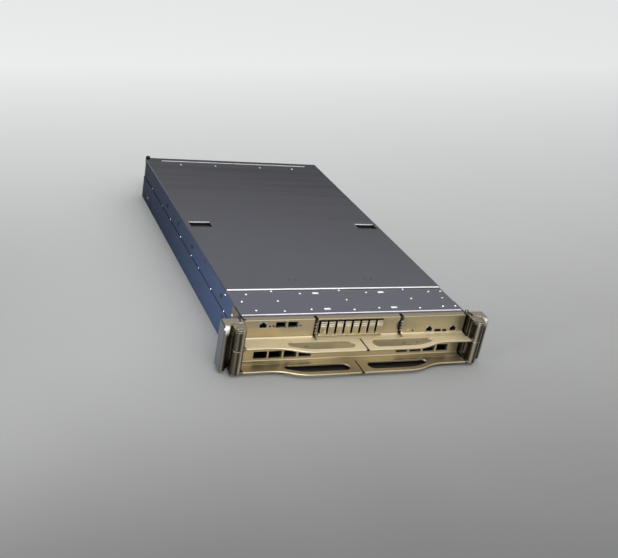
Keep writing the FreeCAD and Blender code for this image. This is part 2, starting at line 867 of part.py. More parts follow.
def make_service_ports():
    rear = port_front + usb_depth
    ports = []
    for x, width, height in ((usb_x, usb_width, usb_height), (display_x, display_width, display_height)):
        shell = sleeve(x, service_low, width, height, usb_wall, port_front, rear)
        middle = service_low + height / 2
        tongue = box(x - width / 2 + tongue_side, x + width / 2 - tongue_side, port_front + tongue_front,
                     rear - usb_wall, middle, middle + tongue_wall)
        ports.append(fuse([shell, tongue]))
    return group(ports)


def make_lights():
    rear = fascia_y + light_length
    lights = [light_pipe(x, z, rear) for x, z in upper_lights]
    half = bay_light_side / 2
    for x, z in bay_light_places():
        lights.append(box(x - half, x + half, port_front, rear, z - half, z + half))
    return group(lights)


def make_button():
    y1 = fascia_inner + port_gap
    shank = rod_y(button_x, fascia_y - button_travel, y1, button_z, button_r - button_clearance)
    collar = rod_y(button_x, y1, y1 + button_head_wall, button_z, button_head_r)
    return fuse([shank, collar])


def make_mid_deck():
    x = inner_x - rear_wall_gap
    return box(-x, x, fascia_inner, deck_rear, upper_lever_z, deck_top)


def make_skid():
    return box(-skid_width / 2, skid_width / 2, skid_front, tray_front, 0, skid_wall)


def drive_x(i):
    """Middle of a drive carrier."""
    return drive_first_x + drive_pitch * i + carrier_width / 2


def make_drive(i):
    """Carrier with a front plate and latch lugs, holding one drive."""
    x = drive_x(i)
    half = carrier_width / 2
    plate_rear = fascia_y + carrier_wall
    plate = box(x - half, x + half, fascia_y, plate_rear, carrier_low, carrier_high)
    body = box(x - drive_body_width / 2, x + drive_body_width / 2, plate_rear, plate_rear + drive_body_length,
               carrier_low + drive_body_inset, carrier_high - drive_body_inset)
    lug_x = drive_latch_width / 2 + port_gap
    lug = drive_latch_knuckle / 2
    lugs = []
    for x0, x1 in ((x - half, x - lug_x), (x + lug_x, x + half)):
        lugs.append(box(x0, x1, drive_latch_pin_y - lug, fascia_y,
                        drive_latch_pin_z - lug, drive_latch_pin_z + lug))
    pin = rod_x(x - lug_x, x + lug_x, drive_latch_pin_y, drive_latch_pin_z, drive_latch_pin_r)
    catch = box(x - lug_x, x + lug_x, drive_latch_pin_y, fascia_y, drive_latch_high + seat_gap, carrier_high)
    return fuse([plate, body, pin, catch] + lugs)


def make_drive_latch(i):
    """Flat lever, wide above its lugs, with a square knuckle at its foot and a thumb lip at its top."""
    x0 = drive_x(i) - drive_latch_width / 2
    x1 = x0 + drive_latch_width
    half = drive_latch_knuckle / 2
    knuckle = box(x0, x1, drive_latch_pin_y - half, drive_latch_pin_y + half,
                  drive_latch_pin_z - half, drive_latch_pin_z + half)
    rear = drive_latch_pin_y + drive_latch_wall / 2
    front = rear - drive_latch_wall
    blade_low = drive_latch_pin_z + drive_latch_neck
    neck = box(x0, x1, front, rear, drive_latch_pin_z, blade_low)
    blade_x0 = drive_x(i) - drive_latch_blade / 2
    blade_x1 = blade_x0 + drive_latch_blade
    blade = box(blade_x0, blade_x1, front, rear, blade_low, drive_latch_high)
    lip = box(blade_x0, blade_x1, front - drive_latch_wall, front,
              drive_latch_high - drive_latch_wall, drive_latch_high)
    bore = rod_x(x0, x1, drive_latch_pin_y, drive_latch_pin_z, drive_latch_pin_r + pin_clearance)
    return fuse([knuckle, neck, blade, lip]).cut(bore)


def make_drive_cage():
    """Open-fronted guide frame for the drives, with ribs between them and a rear board."""
    x0 = drive_bay_left + port_gap
    x1 = drive_right + carrier_gap
    rear = fascia_y + carrier_wall + drive_body_length + carrier_gap
    low = deck_top
    high = fascia_top - fascia_flange_wall - seat_gap
    floor = box(x0, x1, fascia_inner, rear + cage_wall, low, low + cage_wall)
    roof = box(x0, x1, fascia_inner, rear + cage_wall, high - cage_wall, high)
    back = box(x0, x1, rear, rear + cage_wall, low, high)
    ribs = []
    for i in range(drive_count - 1):
        middle = drive_x(i) + drive_pitch / 2
        ribs.append(box(middle - cage_wall / 2, middle + cage_wall / 2, fascia_inner + carrier_wall,
                        rear, low, low + cage_wall + cage_rib_height))
    return fuse([floor, roof, back] + ribs)


def make_module_latch():
    """Right-hand latch: bar on a cross pin in its gap, with a thumb hook at the top."""
    middle = (latch_gap_low + latch_gap_high) / 2
    x0 = middle - latch_bar / 2
    front = fascia_y - latch_proud
    rear = front + latch_depth
    top = fascia_top - fascia_flange_wall
    knee = latch_pin_z + latch_eye_r
    outline = [
        (x0, front, knee), (x0, front, top - latch_proud), (x0, front - latch_proud, top),
        (x0, front, top), (x0, rear - latch_proud, top - 2 * latch_proud),
        (x0, rear - latch_proud, knee + latch_depth), (x0, latch_pin_y + latch_eye_r, latch_pin_z),
        (x0, latch_pin_y, latch_pin_z - latch_eye_r),
    ]
    bar = prism(polygon(outline), Vector(latch_bar, 0, 0))
    eye = rod_x(x0, x0 + latch_bar, latch_pin_y, latch_pin_z, latch_eye_r)
    bore = rod_x(x0, x0 + latch_bar, latch_pin_y, latch_pin_z, latch_pin_r + pin_clearance)
    return fuse([bar, eye]).cut(bore)


def make_network_boards():
    lower_x = inner_x - boss_margin
    lower = box(-lower_x, lower_x, fascia_inner + seat_gap, network_board_rear,
                network_board_low, network_board_low + board_wall)
    upper_rear = deck_rear - boss_margin
    left = box(jack_places[0][0] - jack_width / 2, optic_xs[-1] + optic_width / 2, fascia_inner, upper_rear,
               optic_low - board_wall, optic_low)
    right = box(button_x + button_head_r + seat_gap, jack_places[-1][0] + jack_width / 2, fascia_inner,
                upper_rear, service_low - board_wall, service_low)
    return group([lower, left, right])


def make_main_board():
    board = box(-main_board_half, main_board_half, main_board_front, main_board_rear,
                main_board_low, main_board_low + board_wall)
    notch = box(-boss_margin, boss_margin, main_board_front, main_board_front + boss_margin,
                main_board_low, main_board_low + board_wall)
    return board.cut(notch)


def plate_places():
    return [(side * plate_x, y) for side in (-1, 1) for y in plate_ys]


def make_packages():
    packages = []
    base_low = main_board_low + board_wall
    for x, y in plate_places():
        base = box(x - chip_side / 2, x + chip_side / 2, y - chip_side / 2, y + chip_side / 2,
                   base_low, base_low + chip_base)
        lid = box(x - chip_lid_side / 2, x + chip_lid_side / 2, y - chip_lid_side / 2,
                  y + chip_lid_side / 2, base_low + chip_base, base_low + chip_base + chip_lid)
        packages.append(fuse([base, lid]))
    return group(packages)


def make_cold_plates():
    plates = []
    for x, y in plate_places():
        block = box(x - plate_side / 2, x + plate_side / 2, y - plate_side / 2, y + plate_side / 2,
                    plate_low, plate_top)
        block = block.makeChamfer(plate_wall / 2, edges_where(block, lambda b: b.ZLength > plate_wall / 2))
        ports = [facet_z(x + s * plate_port_offset, y, plate_top, plate_top + plate_port_rise,
                         plate_port_r, hex_sides) for s in (-1, 1)]
        plates.append(fuse([block] + ports))
    return group(plates)


def manifold_run(offset, z, out_x):
    """One rigid coolant circuit: a square rail above each row of plates, a cross header, the line out."""
    parts = []
    for side in (-1, 1):
        x = side * plate_x + offset
        parts.append(box(x - rail_r, x + rail_r, plate_ys[0] - 2 * rail_r, header_y + rail_r,
                         z - rail_r, z + rail_r))
        for y in plate_ys:
            parts.append(facet_z(x, y, plate_top + plate_port_rise, z, plate_port_r, hex_sides))
    parts.append(box(-plate_x + offset, plate_x + offset, header_y - rail_r, header_y + rail_r,
                     z - rail_r, z + rail_r))
    parts.append(box(out_x - rail_r, out_x + rail_r, header_y, rear_wall_y - coupling_flange,
                     z - rail_r, z + rail_r))
    return fuse(parts)


def make_manifold():
    return group([manifold_run(-plate_port_offset, supply_z, -coupling_x),
                  manifold_run(plate_port_offset, return_z, coupling_x)])


def make_couplings():
    """Blind-mate noses, necked through the rear wall, on hex flanges inside it, with a flow bore."""
    couplings = []
    rear = tray_rear + coupling_out
    for x, z in ((-coupling_x, supply_z), (coupling_x, return_z)):
        flange = facet_y(x, rear_wall_y - coupling_flange, rear_wall_y, z, coupling_flange_r, hex_sides)
        neck = rod_y(x, rear_wall_y, tray_rear + coupling_neck, z, coupling_neck_r)
        nose = rod_y(x, tray_rear + coupling_neck, rear, z, coupling_r)
        bore = rod_y(x, rear_wall_y, rear, z, coupling_bore_r)
        couplings.append(fuse([flange, neck, nose]).cut(bore))
    return group(couplings)


def make_fan_frames():
    """Square fan housings with a round duct, a motor boss and its struts at the rear."""
    frames = []
    reach = fan_duct_r + fan_bite
    for x in fan_xs:
        frame = box(x - fan_side / 2, x + fan_side / 2, fan_front, fan_rear, sheet, sheet + fan_side)
        frame = frame.cut(facet_y(x, fan_front, fan_rear, fan_z, fan_duct_r, fan_sides))
        motor = rod_y(x, fan_rear - fan_motor_depth, fan_rear, fan_z, fan_motor_r)
        across = box(x - reach, x + reach, fan_rear - fan_strut, fan_rear,
                     fan_z - fan_strut / 2, fan_z + fan_strut / 2)
        upright = box(x - fan_strut / 2, x + fan_strut / 2, fan_rear - fan_strut, fan_rear,
                      fan_z - reach, fan_z + reach)
        frames.append(fuse([frame, motor, across, upright]))
    return group(frames)


def blade_section(x, r, chord, pitch, middle):
    """Slanted four-sided blade section in the plane at radius r above the fan's axis."""
    turn = math.radians(pitch)
    along = Vector(math.cos(turn), math.sin(turn), 0) * (chord / 2)
    across = Vector(-math.sin(turn), math.cos(turn), 0) * (fan_blade_wall / 2)
    at = Vector(x, middle, fan_z + r)
    corners = [at - along - across, at + along - across, at + along + across, at - along + across]
    return Part.makePolygon(corners + corners[:1])


def make_rotor(x):
    """Hub cup that turns on the motor boss, with twisted blades."""
    bore_r = fan_motor_r + pin_clearance
    hub_front = fan_front + fan_strut
    hub_rear = fan_rear - fan_strut - fan_run_gap
    hub = facet_y(x, hub_front, hub_rear, fan_z, fan_hub_r, fan_sides)
    middle = (hub_front + hub_rear) / 2
    root = blade_section(x, fan_hub_r - fan_bite, fan_root_chord, fan_root_pitch, middle)
    tip = blade_section(x, fan_duct_r - fan_tip_gap, fan_tip_chord, fan_tip_pitch, middle)
    blade = Part.makeLoft([root, tip], True, True)
    blades = []
    for i in range(fan_blades):
        copy = blade.copy()
        copy.rotate(Vector(x, 0, fan_z), Vector(0, 1, 0), 360.0 * i / fan_blades)
        blades.append(copy)
    bore = rod_y(x, fan_rear - fan_motor_depth - seat_gap, fan_rear, fan_z, bore_r)
    return fuse([hub] + blades).cut(bore)


def make_power_clip():
    """Block with an upright slot that takes the rack's bus bar, on a foot on the floor."""
    front = clip_rear - clip_depth
    top = clip_low + clip_height
    block = box(-clip_width / 2, clip_width / 2, front, clip_rear, clip_low, top)
    slot = box(-clip_slot / 2, clip_slot / 2, clip_rear - clip_slot_depth, clip_rear, clip_low, top)
    flare_front = clip_rear - clip_slot
    flare = [(-clip_slot, clip_rear, clip_low), (clip_slot, clip_rear, clip_low),
             (clip_slot / 2, flare_front, clip_low), (-clip_slot / 2, flare_front, clip_low)]
    mouth = prism(polygon(flare), Vector(0, 0, clip_height))
    foot = box(-clip_foot_width / 2, clip_foot_width / 2, front, front + clip_foot_depth, sheet, clip_low)
    return fuse([block.cut([slot, mouth]), foot])


def make_rear_connectors():
    plugs = []
    rear = tray_rear + plug_out
    for x in plug_xs:
        block = box(x - plug_width / 2, x + plug_width / 2, rear - plug_depth, rear,
                    plug_low, plug_low + plug_height)
        lip = plug_flange_lip
        flange = box(x - plug_width / 2 - lip, x + plug_width / 2 + lip, rear_wall_y - plug_flange,
                     rear_wall_y, plug_low - lip, plug_low + plug_height + lip)
        key = box(x - plug_key / 2, x + plug_key / 2, tray_rear, rear,
                  plug_low + plug_height - plug_key_depth, plug_low + plug_height)
        plugs += both_sides(fuse([block, flange]).cut(key))
    return group(plugs)


os.makedirs("parts", exist_ok=True)

save("chassis_tray", make_tray())
save("rear_panel", make_rear_panel())
save("front_cover", make_front_cover())
save("chassis_rivets", make_chassis_rivets())
save("top_lid", make_lid())
save("lid_rivets", make_lid_rivets())
save("rear_gasket", make_gasket())
save("corner_bumper", make_bumper())

right_ear = make_ear()
save("ear_right", right_ear)
save("ear_left", mirrored(right_ear))
save("lever_pins", group(both_sides(make_pin())))
upper_lever = make_lever(upper_lever_z, lug_high_low - seat_gap)
lower_lever = make_lever(lower_lever_z, upper_lever_z - lever_split)
save("upper_right_lever", upper_lever)
save("upper_left_lever", mirrored(upper_lever))
save("lower_right_lever", lower_lever)
save("lower_left_lever", mirrored(lower_lever))

save("io_panel_left", make_io_panel_left())
save("io_panel_right", make_io_panel_right())
save("drive_panel", make_drive_panel())
save("network_panel", make_network_panel())
save("network_jacks", group([make_jack(x, z) for x, z in jack_places]))
save("upper_cages", make_upper_cages())
save("network_cage_left", make_network_cage(bay_middles[:bay_count]))
save("network_cage_right", make_network_cage(bay_middles[bay_count:]))
save("service_ports", make_service_ports())
save("indicator_lights", make_lights())
save("power_button", make_button())

save("mid_deck", make_mid_deck())
save("front_skid", make_skid())
save("drive_cage", make_drive_cage())
for number in range(drive_count):
    save("drive_%d" % (number + 1), make_drive(number))
    save("drive_latch_%d" % (number + 1), make_drive_latch(number))
right_latch = make_module_latch()
save("module_latch_right", right_latch)
save("module_latch_left", mirrored(right_latch))

save("network_boards", make_network_boards())
save("main_board", make_main_board())
save("processor_packages", make_packages())
save("cold_plates", make_cold_plates())
save("coolant_manifold", make_manifold())
save("coolant_couplings", make_couplings())
save("fan_frames", make_fan_frames())
for number, x in enumerate(fan_xs):
    save("fan_rotor_%d" % (number + 1), make_rotor(x))
save("power_clip", make_power_clip())
save("rear_connectors", make_rear_connectors())
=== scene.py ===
import math
from functools import partial

import bpy
from bpy.props import FloatProperty, FloatVectorProperty, PointerProperty
from mathutils import Matrix, Vector


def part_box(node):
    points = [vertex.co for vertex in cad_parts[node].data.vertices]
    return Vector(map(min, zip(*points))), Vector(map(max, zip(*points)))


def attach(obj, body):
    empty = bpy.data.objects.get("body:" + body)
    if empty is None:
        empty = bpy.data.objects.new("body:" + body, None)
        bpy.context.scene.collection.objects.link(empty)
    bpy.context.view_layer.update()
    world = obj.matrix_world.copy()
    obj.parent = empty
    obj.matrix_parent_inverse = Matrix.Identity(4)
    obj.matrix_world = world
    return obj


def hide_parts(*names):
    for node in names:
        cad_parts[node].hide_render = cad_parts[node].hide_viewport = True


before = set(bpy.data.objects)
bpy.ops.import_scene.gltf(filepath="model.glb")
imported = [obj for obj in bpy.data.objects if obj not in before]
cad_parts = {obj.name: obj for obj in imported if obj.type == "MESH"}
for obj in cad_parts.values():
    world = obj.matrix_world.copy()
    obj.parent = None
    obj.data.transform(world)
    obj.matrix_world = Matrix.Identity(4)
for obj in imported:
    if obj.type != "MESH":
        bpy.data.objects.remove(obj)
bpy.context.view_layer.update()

bl_info = {
    "name": "Rack server dressing",
    "version": (1, 0, 0),
    "blender": (4, 5, 0),
    "location": "3D View > Sidebar > Rack server",
    "description": "Finishes, small fittings and the studio for a rack server with four pull levers",
    "category": "Object",
}

MM = 0.001
ORIGIN = Vector((0, 0, 0))
FRONT, REAR = Vector((0, -1, 0)), Vector((0, 1, 0))

# Where fittings sit on the frame, in millimetres. A pair in brackets gives Y and Z.
LANCES_X = (-48.5, 77.0)
PLAIN_RIVETS_REACH = 100
BEAD_Y, BEAD_HALF_WIDTH = 721.5, 172.5
BUSHINGS_Y, BUSHINGS_Z = (114, 311, 420, 512), 67
SIDE_SCREWS = ((705, 12.5), (705, 44), (705, 60.6), (640, 12.5), (90, 22), (90, 40))
SIDE_RIVETS = ((94, 79), (676, 17.3))
EAR_RIVETS = ((40, 70),)
SLIT_SHADE_REAR_Y = -18.6
BAY_COUNT, BAY_PITCH = 4, 26.5
# The rear screws' places across, as shares of the rear panel's half width.
REAR_SCREW_SHARES = (-0.96, -0.5, 0.0, 0.5, 0.96)
# Turns that lay a round bar, made upright, along each axis.
TURNS = {"X": (0, math.pi / 2, 0), "Y": (math.pi / 2, 0, 0), "Z": (0, 0, 0)}

# Light and dark bands on the bronze, a painted reflection, from the inner edge of ear and barrel (0) to the
# outer one (1).
REFLECTION_BANDS = ((0.0, 0.5), (0.14, 0.6), (0.25, 1.8), (0.36, 0.15), (0.42, 0.15), (0.49, 0.5), (0.55, 0.25),
         (0.65, 0.03), (0.88, 0.03), (0.95, 0.5), (1.0, 1.2))


def linear(hex_colour):
    """Scene-linear colour, with alpha, of an sRGB hex value."""
    parts = [int(hex_colour[i:i + 2], 16) / 255 for i in (0, 2, 4)]
    return [p / 12.92 if p <= 0.04045 else ((p + 0.055) / 1.055) ** 2.4 for p in parts] + [1.0]


def colour(name, description, hex_colour):
    return FloatVectorProperty(name=name, description=description, default=linear(hex_colour),
                               size=4, min=0, max=1, subtype="COLOR")


def length(name, description, millimetres):
    return FloatProperty(name=name, description=description, default=millimetres * MM, min=0,
                         precision=4, unit="LENGTH")


def amount(name, description, value):
    return FloatProperty(name=name, description=description, default=value, min=0)


def angle(name, description, degrees):
    return FloatProperty(name=name, description=description, default=math.radians(degrees), subtype="ANGLE")


def spot(name, description, metres):
    return FloatVectorProperty(name=name, description=description, default=metres, subtype="TRANSLATION",
                               unit="LENGTH")


class ServerFinishes(bpy.types.PropertyGroup):
    """Colours of the server's materials and the scale of their grain"""
    lid_steel: colour("Lid steel", "Brushed steel of the sliding lid", "4A4B55")
    cover_steel: colour("Cover steel", "Brighter steel of the fixed front cover", "575863")
    side_zinc: colour("Side zinc", "Blue passivated zinc of the tray's walls", "303B52")
    inner_zinc: colour("Inner zinc", "Plain zinc of the sheets inside and at the rear", "A3A7A9")
    tray_zinc: colour("Tray zinc", "Dull zinc on the tray's inside and its front lip", "5C5A64")
    champagne: colour("Champagne", "Anodised aluminium of the front panels and levers", "CDBF9E")
    bronze: colour("Bronze", "Darker anodised aluminium of the ears and hinge barrels", "AEA38E")
    # Ear side: grey on the ears' outermost faces, a painted reflection.
    ear_side_reflection: colour("Ear side", "Grey anodised outer faces of the ears", "6E7177")
    # Ear brow: near white, a painted highlight on the ears' upper corners.
    ear_brow_highlight: colour("Ear brow", "Polished upper corners of the ears", "F6F1E6")
    # Rivet steel: near white, partly the rivets' bright steel and partly a painted highlight; on hems and
    # lips a painted highlight.
    rivet_steel: colour("Rivet steel", "Bright steel of rivets and hems", "F2F2F4")
    nickel: colour("Nickel", "Plating of the port shells and latches", "D2CFC8")
    gold: colour("Contact gold", "Plating of contacts", "D8A94E")
    # Black nylon also colours the drive carriers above their lugs, where it is painted shade.
    black_nylon: colour("Black nylon", "Moulded connectors, fans and carriers", "141416")
    rubber: colour("Rubber", "Gasket, bumper and buffers", "0D0D0E")
    board_green: colour("Board green", "Solder mask of the boards", "123F2A")
    copper: colour("Copper", "Cold plates, manifold and bus bar jaws", "B9744A")
    chip_lid: colour("Chip lid", "Nickel plated lids of the processors", "9DA0A3")
    light_pipe: colour("Light pipe", "Smoked acrylic of the indicator lights", "101113")
    brush_width: length("Brush width", "Width of one brush mark, drawn wide enough to show", 1.4)
    brush_length: length("Brush length", "Length of one brush mark", 90.0)
    sheet_brush: length("Sheet brush", "Width of a band of brush marks on the lid and the cover", 9.0)
    sheet_run: length("Sheet run", "Length of a band of brush marks on the lid and the cover", 400.0)
    streak_width: length("Streak width", "Width of one upright streak on the ears and barrels", 5.0)
    spangle: length("Spangle", "Width of one zinc crystal", 7.0)
    cloud: length("Cloud", "Width of the soft patches in a rolled sheet", 70.0)


class ServerFittings(bpy.types.PropertyGroup):
    """Sizes of the small fittings"""
    dome_bevel: length("Rivet dome", "Rounding of a rivet's rim", 0.85)
    lance_width: length("Lance width", "Width of the wide stamped lances on the cover", 11.0)
    lance_depth: length("Lance depth", "Depth of the wide stamped lances on the cover", 4.2)
    hem_roll: length("Hem roll", "How far the front hems stand forward of their sheets", 2.2)
    pull_width: length("Pull width", "Width of a finger pull in the lid", 41.0)
    pull_length: length("Pull length", "Length of a finger pull's cup", 22.0)
    pull_depth: length("Pull depth", "Depth of a finger pull's cup at its rear", 7.0)
    pull_rear: length("Pull rear", "Where the rear edge of the finger pulls lies", 379.0)
    pull_inset: length("Pull inset", "From the cover's edge to the middle of a finger pull", 28.5)
    # Cup wall: the black cups are painted shade in the finger pulls.
    cup_wall: length("Cup wall", "Wall of the black cups in the lid's pulls", 0.4)
    latch_width: length("Latch width", "Width of a drive latch above its lugs", 10.4)
    latch_wall: length("Latch wall", "Thickness of a drive latch's blade", 1.6)
    latch_neck: length("Latch neck", "Width of a drive latch between its lugs", 7.7)
    latch_frame: length("Latch frame", "Width of the raised frame round a drive latch", 0.8)
    knuckle_radius: length("Knuckle radius", "Radius of a drive latch's hinge knuckle", 1.3)
    rib_height: length("Rib height", "Height of one slanted rib on a module latch", 1.7)
    rib_pitch: length("Rib pitch", "Step from rib to rib on a module latch", 5.6)
    contact: length("Contact", "Thickness of a contact wire in a jack", 0.5)
    contact_pitch: length("Contact pitch", "Step from wire to wire in a jack", 1.02)
    cap_radius: length("Cap radius", "Radius of the power button's cap", 1.45)
    cap_rise: length("Cap rise", "Height of the power button's cap", 0.5)
    screw_radius: length("Screw radius", "Radius of a screw's head", 2.6)
    screw_rise: length("Screw rise", "Height of a screw's head", 1.3)
    wire_radius: length("Wire radius", "Radius of the spring wire at the ears", 1.2)
    # Room between a lever's black slit strip, which is painted shade, and the other lever.
    buffer_gap: length("Buffer gap", "Room between a lever's buffer and the other lever", 0.4)
    lens_radius: length("Lens radius", "Radius of a lens over an indicator light", 1.7)
    rail_bore: length("Rail bore", "Radius of the bore in a rail bushing", 2.45)
    bushing_rim: length("Bushing rim", "Width of a rail bushing's rim", 2.0)
    nose_radius: length("Nose radius", "Radius of a coolant coupling's nose", 9.0)
    flow_radius: length("Flow radius", "Radius of a coolant coupling's bore", 4.0)
    seal: length("Seal", "Thickness of a coupling's rubber ring", 2.0)
    shroud_rim: length("Shroud rim", "Wall of the shroud round a rear connector's pins", 3.0)
    shroud_rise: length("Shroud rise", "Height of the shroud round a rear connector's pins", 4.0)
    pin_side: length("Pin side", "Width of one contact pin in a rear connector", 1.2)
    jaw: length("Jaw", "Thickness of the copper jaws in the power clip", 1.0)


class ServerStudio(bpy.types.PropertyGroup):
    """Camera, floor and lights"""
    lens: FloatProperty(name="Lens", description="Focal length on a 36 mm wide sensor",
                        default=54.318, min=1, subtype="DISTANCE_CAMERA")
    camera_place: spot("Camera place", "Where the camera stands", (-0.680409, -1.219746, 0.770124))
    azimuth: angle("Azimuth", "Turn of the view about the upright", -25.316)
    elevation: angle("Elevation", "Height of the view above the level", 24.527)
    roll: angle("Roll", "Turn of the camera about its own axis", 10.55)
    paper_pole: spot("Paper pole", "Point that the paper's bands fan out from", (-4.938, 0.406, 0))
    # The floor's colour runs from near to far: painted shade, darker towards the camera.
    floor_near: colour("Near floor", "Graded paper towards the camera", "666666")
    floor_far: colour("Far floor", "Graded paper behind the server", "F4F6F5")
    sky_low: amount("Low sky", "Brightness of the studio near the horizon", 0.10)
    sky_high: amount("High sky", "Brightness of the studio overhead", 1.2)
    sky_left: amount("Left sky", "Share of the studio's light that comes from the left", 0.25)
    key_power: amount("Key power", "Strength of the large light above the front in watts", 24.0)
    side_power: amount("Side power", "Strength of the low light at the left in watts", 1.8)


def wire(node, inputs):
    """Sets a node's sockets: linked to a node's first output or to a given one, or to a plain value."""
    for key, value in inputs.items():
        if isinstance(value, bpy.types.Node):
            value = next(output for output in value.outputs if output.enabled)
        if isinstance(value, bpy.types.NodeSocket):
            node.id_data.links.new(value, node.inputs[key])
        else:
            node.inputs[key].default_value = value


def add_node(tree, kind, inputs=None, **settings):
    """One shader node with its own settings and its sockets' values or links."""
    node = tree.nodes.new("ShaderNode" + kind)
    for name, value in settings.items():
        setattr(node, name, value)
    wire(node, inputs or {})
    return node


def new_material(name):
    """A bare material: itself, the call that adds a node to it, its shader and its Object coordinates."""
    material = bpy.data.materials.new(name)
    material.use_nodes = True
    material.node_tree.nodes.clear()
    add = partial(add_node, material.node_tree)
    shader = add("BsdfPrincipled")
    add("OutputMaterial", {"Surface": shader})
    return material, add, shader, add("TexCoord").outputs["Object"]


def shade(base, factor):
    """A colour made darker or lighter, still inside the range."""
    return [min(1.0, c * factor) for c in base[:3]] + [1.0]


def edge_highlights(add, radius):
    """The normal rounded over edges, and how far each edge is lightened in colour: a painted highlight."""
    rounded = add("Bevel", {"Radius": radius}, samples=4)
    bent = add("VectorMath", {0: rounded, 1: add("NewGeometry").outputs["Normal"]}, operation="DOT_PRODUCT")
    return rounded, add("MapRange", {"Value": bent, "From Min": 0.98, "From Max": 0.75, "To Max": 0.7})


def brushed_steel(name, base, roughness, swing, finishes):
    """Sheet brushed along X: level lines, soft patches and edges lightened as a painted highlight."""
    material, add, shader, place = new_material(name)
    fine, run = 1 / finishes.sheet_brush, 1 / finishes.sheet_run
    marks = add("Mapping", {"Vector": place, "Scale": (run, fine, fine)})
    grain = add("TexNoise", {"Vector": marks, "Scale": 1.0, "Detail": 4.0, "Roughness": 0.65})
    patches = add("TexNoise", {"Vector": place, "Scale": 1 / finishes.cloud, "Detail": 2.0})
    spread = add("MapRange", {"Value": grain, "From Min": 0.3, "From Max": 0.7})
    brushed = add("Mix", {0: spread, 6: shade(base, 1 - swing), 7: shade(base, 1 + swing)}, data_type="RGBA")
    clouded = add("Mix", {0: patches, 6: brushed, 7: shade(base, 0.94)}, data_type="RGBA")
    rounded, edge_highlight = edge_highlights(add, 0.6 * MM)
    # Edges lightened in colour: painted highlight.
    edged = add("Mix", {0: edge_highlight, 6: clouded, 7: shade(base, 1.6)}, data_type="RGBA")
    gloss = add("MapRange", {"Value": grain, "From Min": 0.3, "From Max": 0.7, "To Min": roughness - 0.05,
                             "To Max": roughness + 0.07})
    relief = add("Bump", {"Strength": 0.1, "Distance": 0.02 * MM, "Height": grain, "Normal": rounded})
    wire(shader, {"Base Color": edged, "Metallic": 1.0, "Roughness": gloss, "Normal": relief})
    return material


